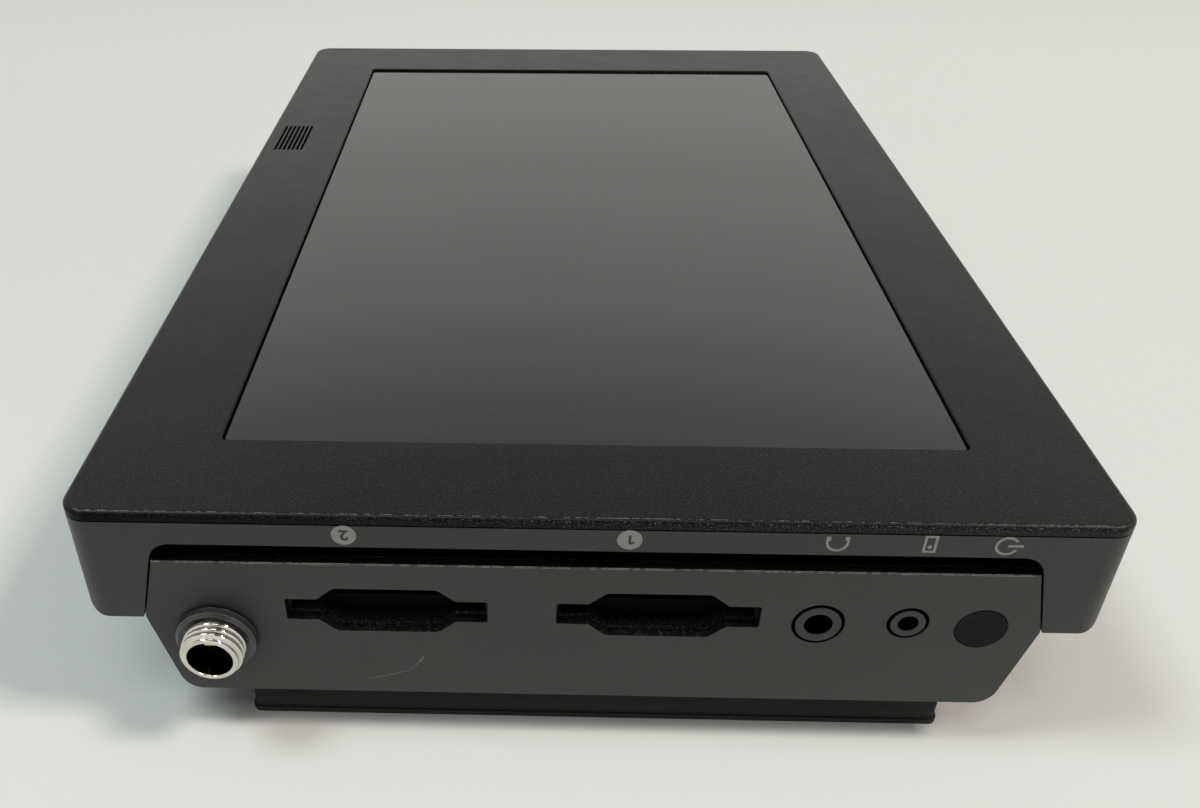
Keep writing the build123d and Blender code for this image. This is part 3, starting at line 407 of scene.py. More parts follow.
# %% [markdown]
# Painted shade in recesses. A narrow slot or a bore swallows light, more than a path tracer's few bounces off
# dark plastic show, so shade is painted into the colour there. An ambient occlusion node tells how much of
# the view from a point is free within a reach. The mask of painted shade starts where that share falls below
# Open, and is full where it reaches Shut.

# %% Painted shade in recesses
recess_shade, given, result = effect("recess_shade", [("Reach", FLOAT, 0.005), ("Open", FLOAT, 0.5),
                                          ("Shut", FLOAT, 0.25)], [("Mask", FLOAT)])
free = add(recess_shade, "ShaderNodeAmbientOcclusion", {"Distance": given["Reach"]}, samples=8).outputs["AO"]
recess_shade.links.new(remap(recess_shade, free, given["Open"], given["Shut"]), result["Mask"])
print("group", recess_shade.name)

# %% [markdown]
# Rolled or turned metal has fine lines along one direction. A noise that is squeezed across that direction
# and stretched along it gives such lines, so the group takes the stretch as a vector.

# %% Drawn lines
lines, given, result = effect("lines", [("Stretch", VECTOR, (1.0, 1.0, 0.05)), ("Size", FLOAT, 0.0002)],
                              [("Height", FLOAT)])
place = object_place(lines)
drawn = add(lines, "ShaderNodeVectorMath", {0: place, 1: given["Stretch"]}, operation="MULTIPLY")
lines.links.new(noise(lines, per(lines, given["Size"]), 3.0, drawn.outputs[0]), result["Height"])
print("group", lines.name)

# %% [markdown]
# ## Finishes
#
# A finish starts from the Principled shader. Numbers that are the same all over, such as the index of
# refraction, are typed on its own sockets. Only what varies over the surface comes from the groups: colour,
# roughness and the normal.

# %% Start a finish and put groups in it
finishes = {}


def start(name, **constants):
    """A new material with numbers typed on its Principled shader."""
    material = bpy.data.materials.new(name)
    material.use_nodes = True
    shader = material.node_tree.nodes["Principled BSDF"]
    for label, value in constants.items():
        shader.inputs[label.replace("_", " ")].default_value = value
    finishes[name] = material
    return material.node_tree, shader


def use(tree, group, **values):
    """Places a group and types its inputs."""
    placed = tree.nodes.new("ShaderNodeGroup")
    placed.node_tree = group
    for label, value in values.items():
        placed.inputs[label].default_value = value
    return placed.outputs


def paint(tree, shader, colour):
    """Gives the shader its colour, in place of any that it had."""
    tree.links.new(colour, shader.inputs["Base Color"])


def vary_gloss(tree, shader, low, high, size):
    """Lets the roughness drift between two values."""
    tree.links.new(use(tree, gloss, Low=low, High=high, Size=size)["Roughness"], shader.inputs["Roughness"])


def raise_bumps(tree, shader, height, depth):
    """A Bump node whose full height is depth, in metres."""
    bump = add(tree, "ShaderNodeBump", {"Height": height, "Distance": depth})
    tree.links.new(bump.outputs["Normal"], shader.inputs["Normal"])


# %% [markdown]
# ### Plastics
#
# Most of the monitor is moulded plastic with some grain. One function makes them all: two tones that drift
# into each other, pale peaks on the grain, rubbed edges with painted highlights, painted shade in recesses,
# an uneven gloss and a bump.


# %% Moulded plastic
def moulded(name, first, second, peak, size, depth, low, high, ior, edge=None, bumps=0.5, peaks=0.5, keep=0.5,
            width=0.0002, reach=0.0):
    """Size and depth are the grain's, low and high the roughness's. Without edge or reach it has none."""
    tree, shader = start(name, IOR=ior)
    colour = use(tree, tone, First=first, Second=second, Size=0.015)["Color"]
    texture = use(tree, grain, Size=size, Bumps=bumps)
    colour = blend(tree, product(tree, texture["Peaks"], peaks), colour, peak)
    # Pale edges: partly wear, partly a painted highlight.
    if edge:
        colour = blend(tree, use(tree, edge_wear_and_highlight, Width=width, Patch=0.0015, Keep=keep)["Mask"], colour, edge)
    # Painted shade: recesses are blackened in the colour.
    if reach:
        colour = blend(tree, use(tree, recess_shade, Reach=reach)["Mask"], colour, BLACK)
    paint(tree, shader, colour)
    vary_gloss(tree, shader, low, high, 0.004)
    raise_bumps(tree, shader, texture["Height"], depth)
    return tree, shader, colour


moulded("housing", rgb(0.024, 0.0245, 0.024), rgb(0.026, 0.0265, 0.026), rgb(0.040, 0.040, 0.040), size=0.00016,
        depth=0.000004, low=0.40, high=0.46, ior=1.45, reach=0.004)
print("side housing finished")

# %% [markdown]
# The front frame has a coarser texture, which shows most on its upright rim. In the colour the rim is nearly
# black, with painted glints on its grains where they catch the light. The glints are fainter and the rim is
# duller towards the left.
# The tilt of the surface, the Z of its normal, tells the rim from the flat face.

# %% Front frame
tree, shader, colour = moulded("bezel", rgb(0.0018, 0.0024, 0.0022), rgb(0.0026, 0.0032, 0.0030),
                               rgb(0.060, 0.062, 0.061), size=0.00030, depth=0.00003, low=0.33, high=0.38,
                               ior=1.28, edge=rgb(0.03, 0.03, 0.03), keep=0.40, peaks=0.60, reach=0.003)
rim_left = -50 * MM
rim_right = 50 * MM
flat_face_shine = 0.5
place = object_place(tree)
axes = axes_of(tree, place)
tilt = surface_axes(tree)["Z"]
on_rim = remap(tree, tilt, 0.80, 0.50)
# Painted glints on the rim's grains, fainter towards the left.
painted_rim_glints = product(tree, use(tree, grain, Size=0.0003, Bumps=0.0)["Peaks"],
                 remap(tree, axes["X"], rim_left, 0.0, 0.25, 1.0))
rim = blend(tree, painted_rim_glints, rgb(0.0002, 0.0002, 0.0006), rgb(0.12, 0.12, 0.13))
colour = blend(tree, on_rim, colour, rim)
rim_shine = remap(tree, axes["X"], rim_left, rim_right, 0.17, 0.48)
tree.links.new(mix_values(tree, on_rim, flat_face_shine, rim_shine), shader.inputs["Specular IOR Level"])
print("front frame coated")

# %% [markdown]
# A thin broken highlight is painted where the rim starts to turn over on the near side. Two limits on the
# tilt keep only a narrow strip of the rounding, and noise cuts the strip into dashes.

# %% Painted highlight line on the front frame
near_start = -91.6 * MM
near_full = -92.0 * MM
on_near_side = remap(tree, axes["Y"], near_start, near_full)
highlight_strip = product(tree, remap(tree, tilt, 0.980, 0.967), remap(tree, tilt, 0.938, 0.951))
dashes = remap(tree, noise(tree, 1600.0, 3.0, place), 0.46, 0.60)
# Painted highlight along the near side of the rim.
colour = blend(tree, product(tree, highlight_strip, on_near_side, dashes), colour, rgb(0.19, 0.19, 0.185))
paint(tree, shader, colour)
print("front frame finished")

# %% [markdown]
# The port panel is the same satin plastic, a little warmer, with one faint curved scratch. The scratch is a
# thin ring round a centre on the panel. Its radius wavers a little, it is kept only along part of its length,
# noise breaks it up, and it is brightest at its upper end, on the right.

# %% Port panel with its scratch
tree, shader, colour = moulded("panel", rgb(0.027, 0.027, 0.026), rgb(0.030, 0.030, 0.0285),
                               rgb(0.045, 0.045, 0.043), size=0.00016, depth=0.000004, low=0.40, high=0.46,
                               ior=1.45, reach=0.003)
scratch_x = -29.15 * MM
scratch_z = 20.2 * MM
scratch_radius = 9.62 * MM
scratch_wobble = 0.17 * MM
scratch_half = 0.11 * MM
scratch_length = 8.0 * MM
faded_foot = 2.0 * MM
faded_top = 4.6 * MM
clear_top = 5.4 * MM
bright_from = 6.6 * MM
bright_to = 7.4 * MM

place = object_place(tree)
axes = axes_of(tree, place)
across = calculate(tree, "SUBTRACT", axes["X"], scratch_x)
down = calculate(tree, "SUBTRACT", scratch_z, axes["Z"])
squares = calculate(tree, "ADD", product(tree, across, across), product(tree, down, down))
waver = calculate(tree, "SINE", remap(tree, across, 0.0, scratch_length, -4.13, 3.05))
radius = calculate(tree, "MULTIPLY_ADD", waver, scratch_wobble, scratch_radius)
off = calculate(tree, "ABSOLUTE", calculate(tree, "SUBTRACT", calculate(tree, "SQRT", squares), radius))
ring = remap(tree, off, scratch_half, 0.0)
part = product(tree, remap(tree, across, 0.0, faded_foot), remap(tree, down, faded_top, clear_top))
skips = remap(tree, noise(tree, 900.0, 2.0, place), 0.35, 0.6)
bright_end = remap(tree, across, bright_from, bright_to)
worn = blend(tree, bright_end, rgb(0.16, 0.16, 0.155), rgb(0.40, 0.40, 0.39))
colour = blend(tree, product(tree, ring, part, skips), colour, worn)
print("scratch", round(scratch_radius / MM, 1), "mm in radius")

# %% [markdown]
# The power nut stands in a soft shadow on the panel, with a narrow black ring where the two meet. Both are
# drawn by the distance from a point just above the nut's middle, measured in the panel's own plane.

# %% Shadow round the power nut
nut_low, nut_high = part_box("power_nut")
shadow_lift = 0.20 * MM
shadow_end = 9.5 * MM
shadow_start = 5.5 * MM
ring_end = 5.75 * MM
ring_start = 5.25 * MM
shadow_middle = ((nut_low.x + nut_high.x) / 2, 0.0, (nut_low.z + nut_high.z) / 2 + shadow_lift)
in_panel = add(tree, "ShaderNodeVectorMath", {0: place, 1: (1.0, 0.0, 1.0)}, operation="MULTIPLY").outputs[0]
from_nut = distance_from(tree, in_panel, shadow_middle)
colour = blend(tree, remap(tree, from_nut, shadow_end, shadow_start, 0.0, 0.40), colour, BLACK)
colour = blend(tree, remap(tree, from_nut, ring_end, ring_start), colour, BLACK)
print("nut's middle", round((nut_low.z + nut_high.z) / 2 / MM, 1), "mm above the table")

# %% [markdown]
# The cut walls inside the panel's openings are painted nearly black as shade, with pale specks. The ledge
# behind its upper edge is painted black as shade, and the edge itself has a pale broken line, partly wear and
# partly a painted highlight.

# %% Openings and upper edge of the port panel
upper_low = 30.60 * MM
upper_high = 30.70 * MM
directions = surface_axes(tree)
specks = use(tree, grain, Size=0.0005, Bumps=0.0)["Peaks"]
# Painted shade on the cut walls inside the openings.
cut_wall_shade = blend(tree, specks, rgb(0.001, 0.001, 0.0015), rgb(0.04, 0.04, 0.044))
colour = blend(tree, remap(tree, directions["Y"], -0.6, -0.3), colour, cut_wall_shade)
upper = remap(tree, axes["Z"], upper_low, upper_high)
# Painted shade on the ledge behind the upper edge.
ledge_shade = product(tree, remap(tree, directions["Z"], 0.80, 0.95), upper)
colour = blend(tree, ledge_shade, colour, BLACK)
# The pale line on the upper edge is partly wear and partly a painted highlight.
edge_highlight_and_wear = use(tree, edge_wear_and_highlight, Width=0.00007, Patch=0.0008, Keep=0.58)["Mask"]
colour = blend(tree, product(tree, edge_highlight_and_wear, upper), colour, rgb(0.55, 0.55, 0.53))
paint(tree, shader, colour)
print("port panel finished")

# %% [markdown]
# The rear shell and most of the black fittings are the same plastic with other numbers. The shell is nearly
# matt, and the fittings are a little glossier and paler along their edges.

# %% Rear shell and black fittings
moulded("rear", rgb(0.0060, 0.0060, 0.0052), rgb(0.0085, 0.0085, 0.0075), rgb(0.03, 0.03, 0.03), size=0.0003,
        depth=0.00002, low=0.50, high=0.60, ior=1.42, reach=0.005)
moulded("black_plastic", rgb(0.010, 0.010, 0.011), rgb(0.014, 0.014, 0.015), rgb(0.05, 0.05, 0.05), size=0.0002,
        depth=0.00001, low=0.36, high=0.46, ior=1.46, edge=rgb(0.06, 0.06, 0.06), keep=0.45, width=0.0001,
        reach=0.005)
print("rear shell finished")

# %% [markdown]
# Three plastics also change along one axis. The battery deck pales towards its foot, where the table throws
# light on it. The card guides have pale specks, which are painted glints, and painted shade turns them black
# further in. Painted shade makes the collars of the two small sockets black inside their bores, where they
# hardly shine.

# %% Battery deck, card guides and socket collars
foot_top = 3.5 * MM
foot_pale = 1.0 * MM
guide_lit = -91.0 * MM
guide_dark = -88.6 * MM
bore_edge = 0.10 * MM
bore_dark = 0.25 * MM

tree, shader, colour = moulded("deck", rgb(0.0070, 0.0070, 0.0062), rgb(0.0082, 0.0082, 0.0074),
                               rgb(0.02, 0.02, 0.02), size=0.0003, depth=0.00002, low=0.50, high=0.60,
                               ior=1.27)
at_foot = remap(tree, axes_of(tree, object_place(tree))["Z"], foot_top, foot_pale)
paint(tree, shader, blend(tree, at_foot, colour, rgb(0.030, 0.030, 0.027)))

# The guides' pale peaks are painted glints.
tree, shader, colour = moulded("shaded_guide", rgb(0.008, 0.008, 0.009), rgb(0.011, 0.011, 0.013),
                               rgb(0.17, 0.17, 0.19), size=0.0004, depth=0.00003, low=0.5, high=0.6, ior=1.25,
                               peaks=0.8)
# Painted shade: the guides go black further into the slot.
deeper_shade = remap(tree, axes_of(tree, object_place(tree))["Y"], guide_lit, guide_dark)
paint(tree, shader, blend(tree, deeper_shade, colour, BLACK))

tree, shader, colour = moulded("collar", rgb(0.024, 0.0245, 0.024), rgb(0.026, 0.0265, 0.026),
                               rgb(0.040, 0.040, 0.040), size=0.00016, depth=0.000004, low=0.40, high=0.46,
                               ior=1.45)
collar_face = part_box("headphone_jack")[0].y
inwards = axes_of(tree, object_place(tree))["Y"]
# Painted shade: the collars go black inside their bores.
bore_shade = remap(tree, inwards, collar_face + bore_edge, collar_face + bore_dark)
paint(tree, shader, blend(tree, bore_shade, colour, BLACK))
tree.links.new(remap(tree, bore_shade, 0.0, 1.0, 0.5, 0.05), shader.inputs["Specular IOR Level"])
print("deck, guides and collars finished")

# %% [markdown]
# The small parts that are left: the polished nut with a pale ring along its edge, a painted highlight, the
# rubbery cap of the button with a painted highlight along its edge, the speaker's cone, white plastic, chips,
# and the clear sheet behind the display that spreads its light.

# %% Nut, rubber and inner plastics
# The nut's pale edge ring is a painted highlight.
moulded("nut_plastic", rgb(0.026, 0.026, 0.026), rgb(0.032, 0.032, 0.032), rgb(0.05, 0.05, 0.05), size=0.0003,
        depth=0.00001, low=0.20, high=0.30, ior=1.50, edge=rgb(0.24, 0.24, 0.24), keep=0.62, width=0.00010)
# The button's pale edge is a painted highlight.
moulded("rubber", rgb(0.0022, 0.0026, 0.0034), rgb(0.0034, 0.0038, 0.0050), rgb(0.060, 0.062, 0.070),
        size=0.0003, depth=0.00004, low=0.55, high=0.65, ior=1.22, edge=rgb(0.07, 0.07, 0.08), keep=0.50,
        width=0.00010)
moulded("cone", rgb(0.010, 0.010, 0.010), rgb(0.016, 0.016, 0.016), rgb(0.03, 0.03, 0.03), size=0.0004,
        depth=0.00005, low=0.7, high=0.85, ior=1.4, bumps=0.2)
moulded("white_plastic", rgb(0.78, 0.77, 0.73), rgb(0.82, 0.81, 0.78), rgb(0.85, 0.85, 0.82), size=0.0003,
        depth=0.000006, low=0.35, high=0.45, ior=1.46)
moulded("chip", rgb(0.020, 0.020, 0.021), rgb(0.026, 0.026, 0.027), rgb(0.06, 0.06, 0.06), size=0.00012,
        depth=0.000006, low=0.5, high=0.6, ior=1.5)
moulded("light_guide", rgb(0.78, 0.78, 0.76), rgb(0.83, 0.83, 0.81), rgb(0.9, 0.9, 0.9), size=0.0008,
        depth=0.000004, low=0.15, high=0.25, ior=1.49, bumps=0.8)
print(len(finishes), "plastics")

# %% [markdown]
# ### Screen
#
# The cover glass is bonded to the panel behind it, so it reads as one black glossy surface: nothing shows
# through, and its look is all reflection. A polished black shader with the index of a hard glass gives the
# bright far end and the dark near end by itself, because glass mirrors more at a shallow angle. The faint
# haze and the fine specks of dust keep it from looking like a hole.

# %% Cover glass and display
tree, shader = start("glass", IOR=1.59)
warm_blacks = {"First": rgb(0.0035, 0.0018, 0.0012), "Second": rgb(0.0046, 0.0026, 0.0018)}
colour = use(tree, tone, Size=0.03, **warm_blacks)["Color"]
dust = remap(tree, use(tree, grain, Size=0.0011, Bumps=0.0)["Peaks"], 0.85, 1.0)
paint(tree, shader, blend(tree, product(tree, dust, 0.03), colour, rgb(0.4, 0.4, 0.38)))
vary_gloss(tree, shader, 0.07, 0.10, 0.02)

tree, shader = start("screen", IOR=1.5)
colour = use(tree, tone, First=rgb(0.010, 0.010, 0.012), Second=rgb(0.014, 0.014, 0.016), Size=0.02)["Color"]
paint(tree, shader, colour)
vary_gloss(tree, shader, 0.18, 0.26, 0.01)
print("screen finished")

# %% [markdown]
# ### Metals
#
# A metal's colour is in its reflection. What tells one from another is that colour, how wide the highlight
# spreads and which way the fine lines of its making run. The inside of a bore and the roots of a thread get
# painted shade from the recess group, each with its own reach.


# %% Plated, drawn and blackened metal
def metal(name, first, second, low, high, stretch, size, depth, metallic=1.0, edge=None, reach=0.0,
          roots=0.0):
    """Size and depth are those of the drawn lines. Without edge, reach or roots it has none."""
    tree, shader = start(name, Metallic=metallic)
    colour = use(tree, tone, First=first, Second=second, Size=0.004)["Color"]
    if edge:
        colour = blend(tree, use(tree, edge_wear_and_highlight, Width=0.00012, Patch=0.001, Keep=0.5)["Mask"], colour, edge)
    # Painted shade in the roots of the thread.
    if roots:
        root_shade = use(tree, recess_shade, Reach=roots, Open=0.88, Shut=0.60)["Mask"]
        colour = blend(tree, root_shade, colour, rgb(0.03, 0.02, 0.018))
    # Painted shade inside the bore.
    if reach:
        colour = blend(tree, use(tree, recess_shade, Reach=reach)["Mask"], colour, BLACK)
    paint(tree, shader, colour)
    vary_gloss(tree, shader, low, high, 0.002)
    raise_bumps(tree, shader, use(tree, lines, Stretch=stretch, Size=size)["Height"], depth)


metal("nickel", rgb(0.62, 0.59, 0.55), rgb(0.72, 0.69, 0.65), low=0.07, high=0.13, stretch=(1.0, 1.0, 1.0),
      size=0.0004, depth=0.000003, reach=0.006, roots=0.0006)
for name, reach in (("gold", 0.0), ("shaded_gold", 0.006)):
    metal(name, rgb(0.80, 0.60, 0.27), rgb(0.86, 0.67, 0.34), low=0.16, high=0.26, stretch=(1.0, 0.2, 1.0),
          size=0.0002, depth=0.000002, reach=reach)
metal("sheet", rgb(0.52, 0.52, 0.51), rgb(0.60, 0.60, 0.60), low=0.28, high=0.40, stretch=(1.0, 0.06, 1.0),
      size=0.0002, depth=0.000004)
metal("steel", rgb(0.46, 0.46, 0.46), rgb(0.54, 0.54, 0.54), low=0.24, high=0.36, stretch=(1.0, 1.0, 0.1),
      size=0.0002, depth=0.000004)
metal("black_steel", rgb(0.022, 0.022, 0.024), rgb(0.034, 0.034, 0.036), low=0.34, high=0.46,
      stretch=(1.0, 1.0, 1.0), size=0.0002, depth=0.000004, metallic=0.7, edge=rgb(0.20, 0.20, 0.20))
metal("sink", rgb(0.24, 0.24, 0.25), rgb(0.30, 0.30, 0.31), low=0.32, high=0.44, stretch=(0.06, 1.0, 1.0),
      size=0.0002, depth=0.000006)
print(len(finishes), "finishes so far")

# %% [markdown]
# ### Board and flat cable
#
# Solder mask is a thin green lacquer over copper: tracks show under it as paler bands in two directions.
# Two wave textures, one along X and one along Y, are kept only in patches, which Voronoi cells choose.

# %% Circuit board
tree, shader = start("board", IOR=1.5, Coat_Weight=0.4, Coat_Roughness=0.15)
along_x = remap(tree, stripes(tree, 220.0, "X"), 0.55, 0.7)
along_y = remap(tree, stripes(tree, 220.0, "Y"), 0.55, 0.7)
patch = add(tree, "ShaderNodeTexVoronoi", {"Vector": object_place(tree), "Scale": 90.0}).outputs["Color"]
choice = remap(tree, add(tree, "ShaderNodeSeparateColor", {0: patch}).outputs[0], 0.49, 0.51)
tracks = mix_values(tree, choice, along_x, along_y)
colour = use(tree, tone, First=rgb(0.012, 0.070, 0.036), Second=rgb(0.016, 0.082, 0.044), Size=0.02)["Color"]
paint(tree, shader, blend(tree, product(tree, tracks, 0.6), colour, rgb(0.035, 0.140, 0.075)))
vary_gloss(tree, shader, 0.26, 0.36, 0.005)
raise_bumps(tree, shader, tracks, 0.00003)
print("board finished")

# %% [markdown]
# The flat cable is amber film with copper lines under it that run along its length.

# %% Flat cable
tree, shader = start("cable", IOR=1.5)
wires = remap(tree, stripes(tree, 320.0, "X"), 0.4, 0.6)
colour = use(tree, tone, First=rgb(0.52, 0.27, 0.05), Second=rgb(0.60, 0.33, 0.08), Size=0.01)["Color"]
paint(tree, shader, blend(tree, wires, colour, rgb(0.30, 0.13, 0.03)))
vary_gloss(tree, shader, 0.22, 0.32, 0.005)
print(len(finishes), "finishes for the solids")

# %% [markdown]
# ## Dress the CAD nodes
#
# The record names a material slot for every node, and the finishes above carry the same names, so dressing
# the solids is one loop. A few parts share a slot with others but look different: the guides have painted
# glints and painted shade, the nut is polished, the deck is duller, the pin is shaded in its bore and the two
# collars have painted shade inside.
# They have finishes of their own. The signs' pale ink follows further down.

# %% Give every node its finish
special = {"card_guide_1": "shaded_guide", "card_guide_2": "shaded_guide", "power_nut": "nut_plastic",
           "battery_deck": "deck", "power_pin": "shaded_gold", "headphone_jack": "collar",
           "remote_jack": "collar"}
for subpart in frame["record"]["subparts"]:
    dressed = nodes[subpart["node"]]
    finish = finishes[special.get(subpart["node"], subpart["material_slot"])]
    if not dressed.material_slots:
        dressed.data.materials.append(None)
    for holder in dressed.material_slots:
        holder.material = finish

# %% [markdown]
# ## Helpers for meshes
#
# The pieces that the scene adds are turned, wound or cut from flat outlines. Each starts as a bmesh, which is
# filled with rings of points. One helper joins rings by walls, one closes an outline into a thin solid, and
# one turns the bmesh into an object with smooth faces and sharp corners.

# %% Join, close and settle
sharp_corner = math.radians(35.0)


def join_rings(shape, rings):
    """Walls between each ring and the next."""
    for first, second in zip(rings, rings[1:]):
        for index in range(len(first)):
            after = (index + 1) % len(first)
            shape.faces.new((first[index], first[after], second[after], second[index]))


def join_outlines(shape, front, back):
    """A thin solid between two equal outlines."""
    shape.faces.new(front)
    shape.faces.new(list(reversed(back)))
    for index in range(len(front)):
        after = (index + 1) % len(front)
        shape.faces.new((front[after], front[index], back[index], back[after]))


def settle(name, shape):
    """Turns a bmesh into an object."""
    bmesh.ops.recalc_face_normals(shape, faces=shape.faces)
    mesh = bpy.data.meshes.new(name)
    shape.to_mesh(mesh)
    shape.free()
    for face in mesh.polygons:
        face.use_smooth = True
    mesh.set_sharp_from_angle(angle=sharp_corner)
    piece = bpy.data.objects.new(name, mesh)
    bpy.context.scene.collection.objects.link(piece)
    return piece


# %% [markdown]
# ## The threaded barrel
#
# The power plug locks with a screw ring, so its barrel carries a fine thread. CAD leaves threads plain, and
# here the real form shows: the barrel is turned as a mesh. Its outline is a list of (place along Y, radius)
# pairs, from the back of the bore round the mouth and back to the flange. Between the mouth and the nut the
# radius also rises and falls with the angle, which turns rings into one helix. It replaces the plain solid
# and stays inside it.

# %% Measure the barrel
barrel_low, barrel_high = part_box("power_barrel")
barrel_x = (barrel_low.x + barrel_high.x) / 2
barrel_z = (barrel_low.z + barrel_high.z) / 2
barrel_mouth = barrel_low.y
nut_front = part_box("power_nut")[0].y
panel_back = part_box("port_panel")[1].y
flange_back = barrel_high.y
crest = 4.0 * MM
lip = 3.34 * MM
thread_depth = 0.42 * MM
neck = 3.6 * MM
bore = 2.9 * MM
flange = 5.2 * MM
pitch = 0.9 * MM
taper = 0.8 * MM
plain_lip = 0.12 * MM
run_in = 0.3 * MM
run_out = 0.15 * MM
thread_start = barrel_mouth + 0.10 * MM
thread_steps = 72
segments = 128
print("thread over", round((nut_front - thread_start) / MM, 2), "mm")


# %% [markdown]
# The crests rise from the lip over the taper's length. The depth of the thread fades in behind the lip and
# out again in front of the nut. Crests and roots are both round, as a plated thread's are.


# %% Shape the barrel
def thread_radius(y, angle):
    """Radius of the thread at a place along Y and an angle."""
    behind = y - barrel_mouth
    outside = lip + (crest - lip) * math.sin(math.pi / 2 * min(1.0, behind / taper))
    phase = (y / pitch + angle / (2 * math.pi)) % 1.0
    wave = math.sin(math.pi * phase) ** 2
    fade = min(1.0, max(0.0, (behind - plain_lip) / run_in), (nut_front - y) / run_out)
    return outside - thread_depth * (1 - wave) * fade


def barrel_rings():
    """Rings of (y, radius or None), where None asks for the thread."""
    mouth = [(0.30 * MM, bore), (0.08 * MM, bore + 0.02 * MM), (0.02 * MM, bore + 0.07 * MM),
             (0.0, bore + 0.14 * MM), (0.0, lip - 0.12 * MM), (0.03 * MM, lip - 0.05 * MM)]
    rings = [(flange_back, bore)] + [(barrel_mouth + behind, radius) for behind, radius in mouth]
    for step in range(thread_steps + 1):
        rings.append((thread_start + (nut_front - thread_start) * step / thread_steps, None))
    return rings + [(nut_front, neck), (panel_back, neck), (panel_back, flange), (flange_back, flange)]


def turned(name, rings, centre_x, centre_z, sides):
    """A turned piece along Y from rings of (y, radius or None), closed into a loop."""
    shape = bmesh.new()
    circles = []
    for y, radius in rings:
        circle = []
        for index in range(sides):
            angle = 2 * math.pi * index / sides
            reach = radius if radius is not None else thread_radius(y, angle)
            circle.append(shape.verts.new((centre_x + reach * math.cos(angle), y,
                                           centre_z + reach * math.sin(angle))))
        circles.append(circle)
    join_rings(shape, circles + circles[:1])
    return settle(name, shape)


barrel = turned("threaded_barrel", barrel_rings(), barrel_x, barrel_z, segments)
barrel.data.materials.append(finishes["nickel"])
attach(barrel, "chassis")
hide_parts("power_barrel")
print(barrel.name, len(barrel.data.vertices), "vertices")

# %% [markdown]
# ## Printed signs
#
# The housing's front carries pale printed signs over each port, upside down in this view because they read
# from the other side. They are pad-printed ink, a few hundredths of a millimetre thick, so each is a thin
# solid on the face rather than a picture: two discs with plain numerals, and signs for headphones, power and
# remote control. The last is a plain hand unit with one round key.

# %% Ink
tree, shader = start("ink", IOR=1.45)
colour = use(tree, tone, First=rgb(0.25, 0.25, 0.245), Second=rgb(0.285, 0.285, 0.28), Size=0.001)["Color"]
worn = product(tree, use(tree, grain, Size=0.00025, Bumps=0.0)["Peaks"], 0.4)
paint(tree, shader, blend(tree, worn, colour, rgb(0.12, 0.12, 0.12)))
vary_gloss(tree, shader, 0.4, 0.55, 0.001)
print("ink mixed")

# %% [markdown]
# Shapes are drawn flat in millimetres, as polygons round the sign's own centre.


# %% Draw flat shapes
def arc(radius, start_degrees, end_degrees, steps=24):
    """Points along an arc round the centre, anticlockwise from +X."""
    points = []
    for step in range(steps + 1):
        angle = math.radians(start_degrees + (end_degrees - start_degrees) * step / steps)
        points.append((radius * math.cos(angle), radius * math.sin(angle)))
    return points


def band(radius, width, start_degrees, end_degrees):
    """A curved stroke as one polygon."""
    outer = arc(radius + width / 2, start_degrees, end_degrees)
    inner = arc(radius - width / 2, end_degrees, start_degrees)
    return outer + inner


def bar(x_low, x_high, z_low, z_high):
    """A straight stroke as one polygon."""
    return [(x_low, z_low), (x_high, z_low), (x_high, z_high), (x_low, z_high)]


# %% [markdown]
# Each polygon becomes a thin solid. Its front stands proud of the housing by the ink's height, and its back
# is sunk a little, so that no light gets behind it. A sign's place is its X and Z on the housing, in
# millimetres.

# %% Print on the housing
ink_height = 0.02 * MM
ink_root = 0.02 * MM
print_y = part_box("housing_frame")[0].y


def printed(name, x, z, polygons, finish="ink", raised=ink_height):
    """A sign as thin solids on the housing's front face."""
    shape = bmesh.new()
    for polygon in polygons:
        front = [shape.verts.new(((x + a) * MM, print_y - raised, (z + b) * MM)) for a, b in polygon]
        back = [shape.verts.new(((x + a) * MM, print_y + ink_root, (z + b) * MM)) for a, b in polygon]
        join_outlines(shape, front, back)
    piece = settle(name, shape)
    piece.data.materials.append(finishes[finish])
    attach(piece, "chassis")
    return piece


headphones = [band(1.22, 0.32, -180, 0), bar(-1.38, -1.06, 0, 0.3), bar(1.06, 1.38, 0, 0.3),
              bar(-1.38, -0.84, 0.3, 0.90), bar(0.84, 1.38, 0.3, 0.90)]
round_key = [(a, b - 0.42) for a, b in arc(0.27, 0, 345, 23)]
remote = [bar(-0.80, -0.48, -1.3, 1.3), bar(0.48, 0.80, -1.3, 1.3), bar(-0.48, 0.48, -1.3, -1.0),
          bar(-0.48, 0.48, 1.0, 1.3), round_key]
power = [band(1.26, 0.34, 31, 333), bar(0.07, 1.92, -0.18, 0.18)]
signs = [("sign_headphones", 28.8, 35.66, headphones), ("sign_remote", 39.69, 35.60, remote),
         ("sign_power", 48.68, 35.52, power)]
for name, x, z, polygons in signs:
    printed(name, x, z, polygons)
print(len(signs), "signs printed")

# %% [markdown]
# The two card slots are numbered. A numeral in the dark of the housing stands on a pale disc. The 2 has
# curves, so Blender's own text object draws it. The 1 is a stem with a flag, so a polygon does. Both are
# turned to face out of the side with their tops towards the table. A digit fills 0.69 of its font's size.

# %% Number the card slots
disc_radius = 1.5
disc_x = (4.32, -29.82)
disc_z = 35.53
numeral_height = 1.5
digit_share = 0.69
digit_half = 0.004 * MM
digit_bold = 0.08 * MM
digit_lift = 0.002 * MM


